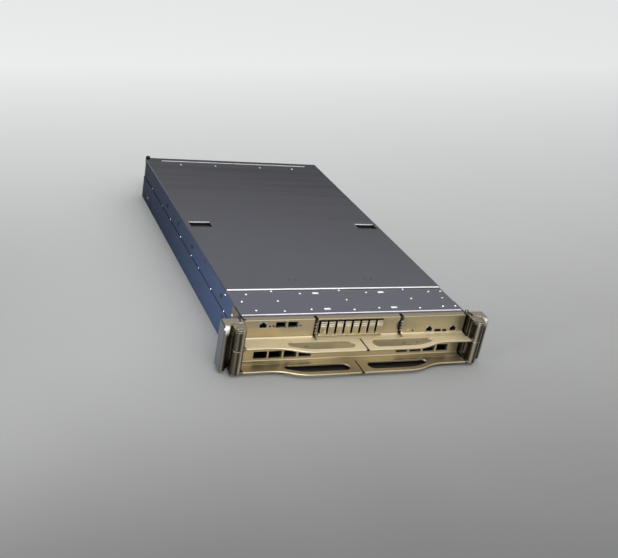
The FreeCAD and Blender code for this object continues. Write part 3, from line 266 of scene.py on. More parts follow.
def anodised_metal(name, finishes, split, outer, shelf, flange, crown):
    """Champagne plate brushed along X, and past the split in X the darker bronze of ears and barrels.

    The bronze has upright bands of light and dark as a painted reflection, a painted highlight on the brow
    below the crown, plain level tops and hollows darkened as painted shade, and grey outermost faces, past
    outer, as a painted reflection.
    Faces turned to the middle are black: painted shade. Level faces of the plate are paler at the shelf's
    height and darker on the flange, the darkening being painted shade.
    """
    material, add, shader, place = new_material(name)
    plate, barrel = finishes.champagne, finishes.bronze
    fine, wide, run = 1 / finishes.brush_width, 1 / finishes.streak_width, 1 / finishes.brush_length
    height_room = 4 * MM
    axes = add("SeparateXYZ", {"Vector": place}).outputs
    outward = add("SeparateXYZ", {"Vector": add("NewGeometry").outputs["Normal"]}).outputs
    off = add("Math", {0: axes["X"]}, operation="ABSOLUTE")
    turned = add("Math", {0: off, 1: split}, operation="GREATER_THAN")
    end = add("Math", {0: off, 1: outer}, operation="GREATER_THAN")
    level = add("MapRange", {"Value": outward["Z"], "From Min": 0.6, "From Max": 0.95})

    # Brush marks run along X on the plate and upright on the bronze.
    along = add("Mapping", {"Vector": place, "Scale": (run, fine, fine)})
    upright = add("Mapping", {"Vector": place, "Scale": (wide, run, run)})
    marks = add("Mix", {0: turned, 4: along, 5: upright}, data_type="VECTOR")
    grain = add("TexNoise", {"Vector": marks, "Scale": 1.0, "Detail": 4.0, "Roughness": 0.65})
    spread = add("MapRange", {"Value": grain, "From Min": 0.38, "From Max": 0.66})

    # The plate, darker on the flange: painted shade.
    brushed = add("Mix", {0: spread, 6: shade(plate, 0.94), 7: shade(plate, 1.06)}, data_type="RGBA")
    at_flange = add("Math", {0: axes["Z"], 1: flange, 2: height_room}, operation="COMPARE")
    on_flange = add("Math", {0: level, 1: at_flange}, operation="MULTIPLY")
    flange_shade = add("Mix", {0: on_flange, 6: brushed, 7: shade(plate, 0.4)}, data_type="RGBA")

    # The bronze: bands and streaks as a painted reflection, then painted shade on its inward faces, its tops
    # and its hollows.
    across = add("MapRange", {"Value": off, "From Min": split, "From Max": outer})
    bands = add("ValToRGB", {"Fac": across})
    for position, _ in REFLECTION_BANDS[1:-1]:
        bands.color_ramp.elements.new(position)
    for element, (position, factor) in zip(bands.color_ramp.elements, REFLECTION_BANDS):
        element.position = position
        element.color = shade(barrel, factor)
    tone = add("MapRange", {"Value": spread, "To Min": 0.7, "To Max": 1.0})
    banded_reflection = add("Mix", {0: 1.0, 6: bands, 7: tone}, data_type="RGBA", blend_type="MULTIPLY")
    # Faces of the bronze turned to the middle are made black: painted shade.
    side = add("Math", {0: axes["X"]}, operation="SIGN")
    lean = add("Math", {0: outward["X"], 1: side}, operation="MULTIPLY")
    inward = add("MapRange", {"Value": lean, "From Min": -0.5, "From Max": -0.8})
    inward_shade = add("Mix", {0: inward, 6: banded_reflection, 7: shade(barrel, 0.04)}, data_type="RGBA")
    # Level tops of the bronze are plain and at half its colour: painted shade.
    tops = add("Mix", {0: level, 6: inward_shade, 7: shade(barrel, 0.5)}, data_type="RGBA")
    # Hollows of the bronze darkened by ambient occlusion: painted shade.
    open_sky = add("AmbientOcclusion", {"Distance": 25 * MM}, only_local=True, samples=8)
    hollow_shade = add("MapRange", {"Value": open_sky.outputs["AO"], "From Min": 0.85, "From Max": 0.45})
    dye_and_painted_shade = add("Mix", {0: hollow_shade, 6: tops, 7: shade(barrel, 0.05)}, data_type="RGBA")

    # A near-white painted highlight on the brow at each ear's upper corner, and the grey outermost faces as a
    # painted reflection.
    near_top = add("MapRange", {"Value": axes["Z"], "From Min": crown - 20 * MM, "From Max": crown - 5 * MM},
                   interpolation_type="SMOOTHSTEP")
    near_end = add("MapRange", {"Value": off, "From Min": outer - 13 * MM, "From Max": outer - 4 * MM},
                   interpolation_type="SMOOTHSTEP")
    plain = add("Math", {0: level, 1: end}, operation="MAXIMUM")
    standing = add("Math", {0: 1.0, 1: plain}, operation="SUBTRACT")
    corner = add("Math", {0: near_top, 1: near_end}, operation="MULTIPLY")
    brow = add("Math", {0: corner, 1: standing}, operation="MULTIPLY")
    brow_highlighted = add("Mix", {0: brow, 6: dye_and_painted_shade, 7: finishes.ear_brow_highlight}, data_type="RGBA")
    ended = add("Mix", {0: end, 6: brow_highlighted, 7: finishes.ear_side_reflection}, data_type="RGBA")

    # Edges lightened in colour on both, a painted highlight, and a blasted, paler shelf.
    tint = add("Mix", {0: turned, 6: flange_shade, 7: ended}, data_type="RGBA")
    radius = add("MapRange", {"Value": turned, "To Min": 1.0 * MM, "To Max": 3.0 * MM})
    rounded, edge_highlight = edge_highlights(add, radius)
    light = add("Mix", {0: turned, 6: shade(plate, 1.06), 7: barrel}, data_type="RGBA")
    edged = add("Mix", {0: edge_highlight, 6: tint, 7: light}, data_type="RGBA")
    at_shelf = add("Math", {0: axes["Z"], 1: shelf, 2: height_room}, operation="COMPARE")
    on_shelf = add("Math", {0: level, 1: at_shelf}, operation="MULTIPLY")
    pale = add("Math", {0: on_shelf, 1: brow}, operation="MAXIMUM")
    metal = add("MapRange", {"Value": pale, "To Min": 0.9, "To Max": 0.5})
    satin = add("MapRange", {"Value": pale, "To Min": 0.34, "To Max": 0.45})
    gloss = add("Mix", {0: turned, 2: satin, 3: 0.22}, data_type="FLOAT")
    relief = add("Bump", {"Strength": 0.1, "Distance": 0.02 * MM, "Height": grain, "Normal": rounded})
    wire(shader, {"Base Color": edged, "Metallic": metal, "Roughness": gloss, "Normal": relief})
    return material


def carrier_metal(name, face, black, split, grain_width):
    """Drive carrier: champagne lugs below the split, and black plate and body above it, painted shade for the
    dark gaps between the latches.
    """
    material, add, shader, place = new_material(name)
    height = add("SeparateXYZ", {"Vector": place}).outputs["Z"]
    low = add("Math", {0: height, 1: split}, operation="LESS_THAN")
    grain = add("TexNoise", {"Vector": place, "Scale": 1 / grain_width, "Detail": 3.0})
    brushed = add("Mix", {0: grain, 6: shade(face, 0.9), 7: shade(face, 1.1)}, data_type="RGBA")
    dye_and_painted_shade = add("Mix", {0: grain, 6: shade(black, 0.7), 7: shade(black, 1.3)}, data_type="RGBA")
    tint = add("Mix", {0: low, 6: dye_and_painted_shade, 7: brushed}, data_type="RGBA")
    gloss = add("MapRange", {"Value": grain, "From Min": 0.3, "From Max": 0.7, "To Min": 0.36, "To Max": 0.5})
    wire(shader, {"Base Color": tint, "Metallic": 0.5, "Roughness": gloss})
    return material


def port_shell(name, plating, black, rim, grit):
    """Port: nickel plated at its rim, and dark past the rim's depth in Y: the moulded insert in a jack,
    painted shade inside a cage.
    """
    material, add, shader, place = new_material(name)
    depth = add("SeparateXYZ", {"Vector": place}).outputs["Y"]
    inside = add("MapRange", {"Value": depth, "From Min": rim[0], "From Max": rim[1]})
    grain = add("TexNoise", {"Vector": place, "Scale": 1 / grit, "Detail": 3.0})
    plated = add("Mix", {0: grain, 6: shade(plating, 0.88), 7: shade(plating, 1.08)}, data_type="RGBA")
    # Dark past the rim: a jack's moulded insert; inside a cage, painted shade.
    moulded = add("Mix", {0: grain, 6: shade(black, 0.3), 7: shade(black, 0.7)}, data_type="RGBA")
    tint = add("Mix", {0: inside, 6: plated, 7: moulded}, data_type="RGBA")
    metal = add("MapRange", {"Value": inside, "To Min": 1.0, "To Max": 0.0})
    gloss = add("MapRange", {"Value": inside, "To Min": 0.3, "To Max": 0.65})
    wire(shader, {"Base Color": tint, "Metallic": metal, "Roughness": gloss})
    return material


def spangled_zinc(name, base, inner, split, roughness, metallic, specular, finishes):
    """Zinc coat: crystal patches and faint rolling marks along Y, and a second colour inside the split."""
    material, add, shader, place = new_material(name)
    crystal = add("TexVoronoi", {"Vector": place, "Scale": 1 / finishes.spangle})
    grey = add("RGBToBW", {"Color": crystal.outputs["Color"]})
    fine, run = 1 / finishes.brush_width, 1 / finishes.brush_length
    drawn = add("Mapping", {"Vector": place, "Scale": (fine, run, fine)})
    rolled = add("TexNoise", {"Vector": drawn, "Scale": 1.0, "Detail": 3.0})
    mixed = add("Math", {0: grey, 1: 0.3, 2: rolled}, operation="MULTIPLY_ADD")
    spread = add("MapRange", {"Value": mixed, "From Min": 0.4, "From Max": 0.95})
    off = add("Math", {0: add("SeparateXYZ", {"Vector": place}).outputs["X"]}, operation="ABSOLUTE")
    outside = add("Math", {0: off, 1: split}, operation="GREATER_THAN")
    dark = add("Mix", {0: outside, 6: shade(inner, 0.84), 7: shade(base, 0.84)}, data_type="RGBA")
    light = add("Mix", {0: outside, 6: shade(inner, 1.14), 7: shade(base, 1.14)}, data_type="RGBA")
    tint = add("Mix", {0: spread, 6: dark, 7: light}, data_type="RGBA")
    rounded = add("Bevel", {"Radius": 0.8 * MM}, samples=4)
    gloss = add("MapRange", {"Value": mixed, "From Min": 0.4, "From Max": 0.95, "To Min": roughness - 0.06,
                             "To Max": roughness + 0.08})
    relief = add("Bump", {"Strength": 0.15, "Distance": 0.05 * MM, "Height": rolled, "Normal": rounded})
    wire(shader, {"Base Color": tint, "Metallic": metallic, "Specular IOR Level": specular,
                  "Roughness": gloss, "Normal": relief})
    return material


def grainy(name, base, grit, roughness, depth, metallic=0.0, swing=0.12):
    """Moulded or plated surface with an even fine grain of the given grit."""
    material, add, shader, place = new_material(name)
    grain = add("TexNoise", {"Vector": place, "Scale": 1 / grit, "Detail": 3.0})
    wide = add("TexNoise", {"Vector": place, "Scale": 1 / (30 * grit), "Detail": 2.0})
    both = add("Math", {0: grain, 1: 0.6, 2: wide}, operation="MULTIPLY_ADD")
    spread = add("MapRange", {"Value": both, "From Min": 0.5, "From Max": 1.1})
    tint = add("Mix", {0: spread, 6: shade(base, 1 - swing), 7: shade(base, 1 + swing)}, data_type="RGBA")
    gloss = add("MapRange", {"Value": both, "From Min": 0.5, "From Max": 1.1, "To Min": roughness - 0.06,
                             "To Max": roughness + 0.08})
    relief = add("Bump", {"Strength": 0.25, "Distance": depth, "Height": grain})
    wire(shader, {"Base Color": tint, "Metallic": metallic, "Roughness": gloss, "Normal": relief})
    return material


def make_materials(finishes):
    """Every material of the server, keyed by a short name."""
    port_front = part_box("network_jacks")[0].y
    lug_height, side_depth, shelf_y = 2.7 * MM, 2.5 * MM, -30 * MM
    lug_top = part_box("drive_latch_1")[0].z + lug_height
    ear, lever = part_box("ear_right"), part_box("upper_left_lever")
    shelf = skin("upper_left_lever", (lever[1].x - MM, shelf_y, 1), (0, 0, -1)).z
    made = {}
    # Cold-rolled steel with a straight mechanical brush: grey with a satin gleam in level lines.
    # Real brush marks are about 0.1 mm wide, so they are drawn coarser, in bands, to show at all.
    made["lid"] = brushed_steel("brushed steel, lid", finishes.lid_steel, 0.18, 0.36, finishes)
    made["cover"] = brushed_steel("brushed steel, cover", finishes.cover_steel, 0.2, 0.3, finishes)
    # Zinc plate with a blue chromate film: a dull blue mirror broken by crystal patches.
    made["side"] = spangled_zinc("blue passivated zinc", finishes.side_zinc, finishes.tray_zinc,
                                 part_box("front_cover")[1].x - MM, 0.5, 0.12, 0.05, finishes)
    # Hot-dip galvanised sheet: pale grey crystals a few millimetres wide.
    made["zinc"] = spangled_zinc("galvanised steel", finishes.inner_zinc, finishes.inner_zinc, 0.0, 0.42,
                                 0.95, 0.5, finishes)
    # Anodised aluminium. Champagne on panels and lever plates: warm, soft reflections, and level faces that
    # a fine blast makes paler. Bronze on ears and barrels: glossy, with upright streaks from the drawing die
    # and bands of light and dark that are a painted reflection; grey outer faces are a painted reflection,
    # the brow a painted highlight, and inward faces, tops and hollows painted shade.
    made["anodised"] = anodised_metal("champagne and bronze anodised aluminium", finishes, ear[0].x - MM,
                                      ear[1].x - side_depth, shelf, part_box("io_panel_right")[1].z, ear[1].z)
    # Drive carriers: black plate as painted shade for the gaps between the latches, champagne hinge lugs.
    made["carrier"] = carrier_metal("anodised carrier aluminium", finishes.champagne, finishes.black_nylon,
                                    lug_top, finishes.brush_width)
    # Port shields: bright nickel rim, then the black moulding that holds the contacts.
    made["port"] = port_shell("nickel plated port shell", finishes.nickel, finishes.black_nylon,
                              (port_front + 0.3 * MM, port_front + 0.6 * MM), 0.5 * MM)
    # Cages: bright nickel rim, and past it painted shade for the dark inside of each cage.
    made["cage"] = port_shell("nickel plated cage", finishes.nickel, finishes.black_nylon,
                              (port_front + 1.0 * MM, port_front + 4.0 * MM), 0.5 * MM)
    # Turned or rolled stainless steel: near white, with a tight highlight. The near white is partly the
    # rivets' own bright steel and partly a painted highlight; on the hems, the rear bead and the pull lips it
    # is a painted highlight.
    made["rivet"] = grainy("bright stainless steel, partly painted highlight", finishes.rivet_steel, 0.4 * MM, 0.42, 0.01 * MM,
                           0.5, 0.04)
    # Nickel plate: warm silver with a faint ripple.
    made["nickel"] = grainy("nickel plated steel", finishes.nickel, 0.5 * MM, 0.28, 0.01 * MM, 1.0, 0.08)
    # Hard gold over bronze: deep yellow contacts.
    made["gold"] = grainy("gold plated bronze", finishes.gold, 0.3 * MM, 0.25, 0.01 * MM, 1.0, 0.08)
    # Glass-filled nylon from a spark-eroded mould: matt black with a fine grit.
    made["nylon"] = grainy("black moulded nylon", finishes.black_nylon, 0.5 * MM, 0.5, 0.03 * MM)
    # Vulcanised rubber: the dullest and darkest surface on the server.
    made["rubber"] = grainy("black rubber", finishes.rubber, 0.8 * MM, 0.72, 0.05 * MM)
    # Glass epoxy laminate under green solder mask: mottled where copper lies beneath.
    made["board"] = grainy("glass epoxy board", finishes.board_green, 1.2 * MM, 0.42, 0.03 * MM, 0.0, 0.25)
    # Bare copper: pink metal with darker oxide patches.
    made["copper"] = grainy("bare copper", finishes.copper, 2.0 * MM, 0.34, 0.02 * MM, 1.0, 0.15)
    # Nickel plated heat spreader: grey satin.
    made["chip"] = grainy("nickel plated copper lid", finishes.chip_lid, 0.6 * MM, 0.35, 0.02 * MM, 1.0)
    # Smoked acrylic light pipe: glossy and almost black when unlit.
    made["lens"] = grainy("smoked acrylic", finishes.light_pipe, 0.6 * MM, 0.15, 0.005 * MM)
    return made


def fresh():
    """Leaves edit mode and selects nothing, so an operator only meets the new piece."""
    if bpy.context.mode != "OBJECT":
        bpy.ops.object.mode_set(mode="OBJECT")
    bpy.ops.object.select_all(action="DESELECT")


def only(piece):
    """Selects one piece and nothing else."""
    fresh()
    piece.select_set(True)
    bpy.context.view_layer.objects.active = piece


def apply_transform():
    bpy.ops.object.transform_apply(location=True, rotation=True, scale=True)


def start_block(low, high):
    """Starts a piece as a block between two corners."""
    fresh()
    low, high = Vector(low), Vector(high)
    bpy.ops.mesh.primitive_cube_add(size=1, location=(low + high) / 2, scale=high - low)
    apply_transform()
    return bpy.context.object


def start_round(middle, radius, depth, sides, axis):
    """Starts a piece as a short round bar about X, Y or Z."""
    fresh()
    bpy.ops.mesh.primitive_cylinder_add(vertices=sides, radius=radius, depth=depth, location=middle,
                                        rotation=TURNS[axis])
    apply_transform()
    return bpy.context.object


def clear_choice(piece, kind):
    """Deselects all of a piece's mesh, ready to choose faces or edges."""
    only(piece)
    bpy.ops.object.mode_set(mode="EDIT")
    bpy.ops.mesh.select_mode(type=kind)
    bpy.ops.mesh.select_all(action="DESELECT")
    bpy.ops.object.mode_set(mode="OBJECT")


def pick_faces(piece, test):
    """Selects in edit mode the faces whose centre and normal pass the test."""
    clear_choice(piece, "FACE")
    chosen = [face for face in piece.data.polygons if test(face.center, face.normal)]
    if not chosen:
        raise RuntimeError("no face to work on in " + piece.name)
    for face in chosen:
        face.select = True
    bpy.ops.object.mode_set(mode="EDIT")


def pick_edges(piece, test):
    """Selects in edit mode the edges whose two ends pass the test."""
    clear_choice(piece, "EDGE")
    points = piece.data.vertices
    chosen = [e for e in piece.data.edges if test(points[e.vertices[0]].co, points[e.vertices[1]].co)]
    if not chosen:
        raise RuntimeError("no edge to work on in " + piece.name)
    for edge in chosen:
        edge.select = True
        for i in edge.vertices:
            points[i].select = True
    bpy.ops.object.mode_set(mode="EDIT")


def push(step):
    """Extrudes what is selected in edit mode by a step."""
    bpy.ops.mesh.extrude_region_move(TRANSFORM_OT_translate={"value": step})


def roll(piece, test, offset, segments=3):
    """Rounds the edges whose two ends pass the test."""
    pick_edges(piece, test)
    bpy.ops.mesh.bevel(offset=offset, segments=segments, profile=0.5, affect="EDGES")
    fresh()


def sink(piece, heading, rims, step):
    """Insets the face that looks along a heading, once for each rim, and pushes it by a step."""
    pick_faces(piece, lambda c, n: n.dot(heading) > 0.95)
    for rim in rims:
        bpy.ops.mesh.inset(thickness=rim)
    push(step)
    fresh()


def ring(at, radius, depth, rim, sides, axis):
    """A ring about X, Y or Z: a round bar whose ends are joined through a hole."""
    piece = start_round(at, radius, depth, sides, axis)
    pick_faces(piece, lambda c, n: abs(n["XYZ".index(axis)]) > 0.9)
    bpy.ops.mesh.inset(thickness=rim)
    bpy.ops.mesh.bridge_edge_loops()
    fresh()
    return piece


def copy_at(piece, step):
    """A copy of a piece with its own mesh, moved by a step."""
    only(piece)
    bpy.ops.object.duplicate(linked=False)
    bpy.ops.transform.translate(value=step)
    apply_transform()
    return bpy.context.object


def repeat(model, places):
    """Models a shape at the first place and copies it to the others."""
    first = model(places[0])
    return [first] + [copy_at(first, at - places[0]) for at in places[1:]]


def mirrored(piece, axis, middle):
    """A copy of a piece mirrored along X, Y or Z through a middle."""
    copy = copy_at(piece, ORIGIN)
    only(copy)
    bpy.ops.transform.mirror(constraint_axis=[axis == name for name in "XYZ"], center_override=middle)
    apply_transform()
    bpy.ops.object.mode_set(mode="EDIT")
    bpy.ops.mesh.select_all(action="SELECT")
    bpy.ops.mesh.normals_make_consistent(inside=False)
    fresh()
    return copy


def modify(piece, kind, **settings):
    """Gives a piece a modifier with its settings and applies it."""
    only(piece)
    bpy.ops.object.modifier_add(type=kind)
    modifier = piece.modifiers[-1]
    for name, value in settings.items():
        setattr(modifier, name, value)
    bpy.ops.object.modifier_apply(modifier=modifier.name)
    return piece


def row(piece, count, step):
    """Repeats a small shape in a straight row inside one piece."""
    return modify(piece, "ARRAY", count=count, use_relative_offset=False, use_constant_offset=True,
                  constant_offset_displace=step)


def soften(piece, offset, segments=2):
    """Rounds every edge of a piece a little, as moulding and tumbling do."""
    return modify(piece, "BEVEL", width=offset, segments=segments, limit_method="ANGLE",
                  angle_limit=math.radians(40))


def soft_block(low, high, offset, segments=2):
    """A block with rounded edges, for small stamped and moulded parts."""
    return soften(start_block(low, high), offset, segments)


def tilt(piece, turn, axis, centre):
    """Turns a piece about X, Y or Z through a centre."""
    only(piece)
    bpy.ops.transform.rotate(value=turn, orient_axis=axis, center_override=centre)
    apply_transform()
    return piece


def join(pieces):
    """Joins pieces into the first."""
    fresh()
    for piece in pieces:
        piece.select_set(True)
    bpy.context.view_layer.objects.active = pieces[0]
    if len(pieces) > 1:
        bpy.ops.object.join()
    return bpy.context.object


def settle(piece, name, key, body, smooth=35):
    """Names a piece, smooths it up to an angle in degrees, gives it its material and sets it on its body."""
    only(piece)
    piece.name = name
    piece.data.name = name
    apply_transform()
    bpy.ops.object.shade_smooth_by_angle(angle=math.radians(smooth))
    piece.data.materials.clear()
    piece.data.materials.append(bpy.data.materials[bpy.context.scene["server_materials"][key]])
    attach(piece, body)
    return piece


def solids(node):
    """Boxes of the separate solids in a CAD node, from a merged copy of its mesh."""
    fresh()
    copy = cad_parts[node].copy()
    copy.data = copy.data.copy()
    bpy.context.scene.collection.objects.link(copy)
    copy.parent = None
    only(copy)
    bpy.ops.object.mode_set(mode="EDIT")
    bpy.ops.mesh.select_all(action="SELECT")
    bpy.ops.mesh.remove_doubles(threshold=1e-6)
    bpy.ops.mesh.separate(type="LOOSE")
    bpy.ops.object.mode_set(mode="OBJECT")
    boxes = []
    for part in list(bpy.context.selected_objects):
        corners = [v.co for v in part.data.vertices]
        boxes.append((Vector([min(c[i] for c in corners) for i in range(3)]),
                      Vector([max(c[i] for c in corners) for i in range(3)])))
    bpy.ops.object.delete()
    return sorted(boxes, key=lambda b: (round(b[0].x, 4), round(b[0].y, 4), round(b[0].z, 4)))


def skin(node, start, heading):
    """Point where a straight line first meets a CAD node."""
    hit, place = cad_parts[node].ray_cast(Vector(start), Vector(heading))[:2]
    if not hit:
        raise RuntimeError("nothing of " + node + " on that line")
    return place


def screw_head(at, radius, rise, axis):
    """One screw head on a surface, facing up its axis: rolled rim and a sunk socket."""
    out = Vector([axis == name for name in "XYZ"])
    middle = at + out * rise / 2
    piece = start_round(middle, radius, rise, 12, axis)
    roll(piece, lambda a, b: min((a - middle).dot(out), (b - middle).dot(out)) > rise * 0.4, rise * 0.4)
    sink(piece, out, [radius * 0.2], out * -rise / 2)
    return piece


FINISH_OF_SLOT = {
    "galvanised_steel": "zinc", "lid_steel": "lid", "rivet_steel": "rivet",
    "champagne_aluminium": "anodised", "bronze_aluminium": "anodised", "pin_steel": "anodised",
    "port_nickel": "nickel", "black_plastic": "nylon", "board_laminate": "board", "chip_metal": "chip",
    "copper": "copper", "black_rubber": "rubber", "light_pipe": "lens",
}
# front_skid gets black nylon; lying under the lower grips, its black there is also painted shade.
FINISH_OF_NODE = {
    "chassis_tray": "side", "front_cover": "cover", "top_lid": "lid", "front_skid": "nylon",
    "network_jacks": "port", "service_ports": "port", "upper_cages": "cage", "network_cage_left": "cage",
    "network_cage_right": "cage", "drive_cage": "nylon", "power_button": "nickel",
    "module_latch_left": "nylon", "module_latch_right": "nylon",
}
FINISH_OF_NODE.update({"drive_%d" % i: "carrier" for i in range(1, 9)})


class SERVER_OT_finishes(bpy.types.Operator):
    """Makes the materials and gives every sheet, panel and lever from the frame its own"""
    bl_idname = "rack_server.finishes"
    bl_label = "Finishes"

    def execute(self, context):
        made = make_materials(context.scene.server_finishes)
        context.scene["server_materials"] = {key: made[key].name for key in made}
        for name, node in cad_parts.items():
            slot = node.material_slots[0]
            key = FINISH_OF_NODE.get(name) or FINISH_OF_SLOT[slot.material.name.split(".")[0]]
            slot.material = made[key]
        return {"FINISHED"}


class SERVER_OT_rivets(bpy.types.Operator):
    """Domes the rivets on the cover, the lid and in the side grooves, and stamps the wide lances"""
    bl_idname = "rack_server.rivets"
    bl_label = "Rivets and lances"

    def execute(self, context):
        fittings = context.scene.server_fittings
        bright_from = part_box("top_lid")[0].y + PLAIN_RIVETS_REACH * MM
        for node, body in (("chassis_rivets", "chassis"), ("lid_rivets", "lid")):
            models, bright, plain = {}, [], []
            for low, high in solids(node):
                at = (low + high) / 2
                level = high.z - low.z < high.x - low.x
                side = 0 if level else math.copysign(1, at.x)
                lance = body == "chassis" and level and min(abs(at.x - x * MM) for x in LANCES_X) < MM
                if (lance, side) in models:
                    model, first = models[lance, side]
                    piece = copy_at(model, at - first)
                else:
                    piece = self.lance(low, high, fittings) if lance else self.dome(low, high, side, fittings)
                    models[lance, side] = piece, at
                (plain if body == "lid" and at.y < bright_from else bright).append(piece)
            piece = settle(join(bright), node + "_domed", "rivet", body, 50)
            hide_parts(node)
            if plain:
                settle(join(plain), node + "_plain", "cover", body, 50)
        return {"FINISHED"}

    def dome(self, low, high, side, fittings):
        """One rivet head: a short round bar whose outer rim is rolled over."""
        at = (low + high) / 2
        if side:
            piece = start_round(at, (high.y - low.y) * 0.9, high.x - low.x, 10, "X")
            roll(piece, lambda a, b: min((a.x - at.x) * side, (b.x - at.x) * side) > 0,
                 fittings.dome_bevel * 0.6)
        else:
            piece = start_round(at, (high.x - low.x) / 2, high.z - low.z, 14, "Z")
            roll(piece, lambda a, b: min(a.z, b.z) > at.z, fittings.dome_bevel, 4)
        return piece

    def lance(self, low, high, fittings):
        """One wide lance: a low bridge stamped up from the sheet with a rolled back."""
        at = (low + high) / 2
        rise = (high.z - low.z) * 1.4
        half = Vector((fittings.lance_width / 2, fittings.lance_depth / 2, 0))
        base = Vector((at.x, at.y, low.z))
        piece = start_block(base - half, base + half + Vector((0, 0, rise)))
        roll(piece, lambda a, b: min(a.z, b.z) > at.z, rise * 0.9, 5)
        return piece


class SERVER_OT_hems(bpy.types.Operator):
    """Rolls the hems along the lid's and the cover's front edges, in near white as a painted highlight"""
    bl_idname = "rack_server.hems"
    bl_label = "Front hems"

    def execute(self, context):
        roll_out = context.scene.server_fittings.hem_roll
        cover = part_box("front_cover")
        lid_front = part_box("top_lid")[0].y
        lid_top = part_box("lid_rivets")[0].z
        inset, lap = 2 * MM, 0.2 * MM
        left, right = cover[0].x + inset, cover[1].x - inset
        self.hem((left, lid_front - roll_out, cover[1].z + lap), (right, lid_front + lap, lid_top + lap),
                 "lid_front_hem", "lid", "lid_steel")
        self.hem((left, cover[0].y - roll_out * 0.7, cover[0].z), (right, cover[0].y + lap, cover[1].z + lap),
                 "cover_front_hem", "chassis", "galvanised_steel")
        bead_front, bead_half = BEAD_Y * MM, BEAD_HALF_WIDTH * MM
        bead_top = skin("top_lid", (0, bead_front + inset, 1), (0, 0, -1)).z
        self.hem((-bead_half, bead_front - 2 * lap, lid_top),
                 (bead_half, bead_front + roll_out / 2, bead_top + lap), "lid_rear_bead", "lid", "lid_steel")
        return {"FINISHED"}

    def hem(self, low, high, name, body, slot):
        """One hem: a long strip whose front edges are rolled round."""
        piece = start_block(low, high)
        near = low[1] + 1e-6
        roll(piece, lambda a, b: max(a.y, b.y) < near and abs(a.x - b.x) > MM, (high[2] - low[2]) * 0.48, 5)
        # The hems are near white: a painted highlight along the sheets' rolled edges.
        settle(piece, name, "rivet", body, 60)


class SERVER_OT_pull_cups(bpy.types.Operator):
    """Lines the lid's two finger pulls with black cups as painted shade and gives their rear edges a bright
    lip as a painted highlight
    """
    bl_idname = "rack_server.pull_cups"
    bl_label = "Finger pulls"

    def execute(self, context):
        fittings = context.scene.server_fittings
        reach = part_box("front_cover")[1].x - fittings.pull_inset
        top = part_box("lid_rivets")[0].z
        places = [Vector((side * reach, fittings.pull_rear, top)) for side in (-1, 1)]
        cups = repeat(lambda at: self.cup(at, fittings), places)
        lips = repeat(lambda at: self.lip(at, fittings), places)
        # Black cups are painted shade in the pulls; bright lips are a painted highlight on their rear edges.
        settle(join(cups), "lid_pull_shade_cups", "nylon", "lid")
        settle(join(lips), "lid_pull_highlight_lips", "rivet", "lid")
        return {"FINISHED"}

    def cup(self, at, fittings):
        """One open cup, whose floor slopes up to the front."""
        wall, depth = fittings.cup_wall, fittings.pull_depth
        half = fittings.pull_width / 2 - wall / 4
        low = at + Vector((-half, -fittings.pull_length, wall / 2 - depth))
        cup = start_block(low, at + Vector((half, -wall / 4, 0)))
        pick_edges(cup, lambda a, b: max(a.y, b.y) < low.y + MM and max(a.z, b.z) < low.z + MM)
        bpy.ops.transform.translate(value=(0, MM, depth - wall * 1.5))
        pick_faces(cup, lambda c, n: n.z > 0.95)
        bpy.ops.mesh.delete(type="FACE")
        return modify(cup, "SOLIDIFY", thickness=wall, offset=-1)

    def lip(self, at, fittings):
        """The bright lip along a pull's rear edge."""
        wall, half = fittings.cup_wall, fittings.pull_width / 2
        return soft_block(at + Vector((-half, -wall, -3 * wall)), at + Vector((half, 3 * wall, 1.5 * wall)),
                          wall * 0.5)


class SERVER_OT_bumper(bpy.types.Operator):
    """Turns the rubber bumper at the rear left corner of the lid"""
    bl_idname = "rack_server.bumper"
    bl_label = "Corner bumper"

    def execute(self, context):
        low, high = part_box("corner_bumper")
        radius = (high.x - low.x) / 2
        axis = Vector(((low.x + high.x) / 2, high.y - radius, 0))
        piece = start_round(axis + Vector((0, 0, (low.z + high.z) / 2)), radius, high.z - low.z, 28, "Z")
        roll(piece, lambda a, b: min(a.z, b.z) > high.z - 1e-6, radius * 0.62, 7)
        waist = high.z - radius * 0.95
        band = radius * 0.16
        only(piece)
        bpy.ops.object.mode_set(mode="EDIT")
        for z in (waist - band, waist + band):
            bpy.ops.mesh.select_all(action="SELECT")
            bpy.ops.mesh.bisect(plane_co=(0, 0, z), plane_no=(0, 0, 1))
        pick_faces(piece, lambda c, n: abs(c.z - waist) < band * 0.9 and abs(n.z) < 0.5)
        bpy.ops.mesh.extrude_region_move()
        bpy.ops.transform.resize(value=(0.84, 0.84, 0.7), center_override=(axis.x, axis.y, waist))
        foot = soft_block(low, (high.x, axis.y, high.z - radius * 1.05), radius * 0.12)
        piece = settle(join([piece, foot]), "corner_bumper_turned", "rubber", "lid")
        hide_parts("corner_bumper")
        return {"FINISHED"}


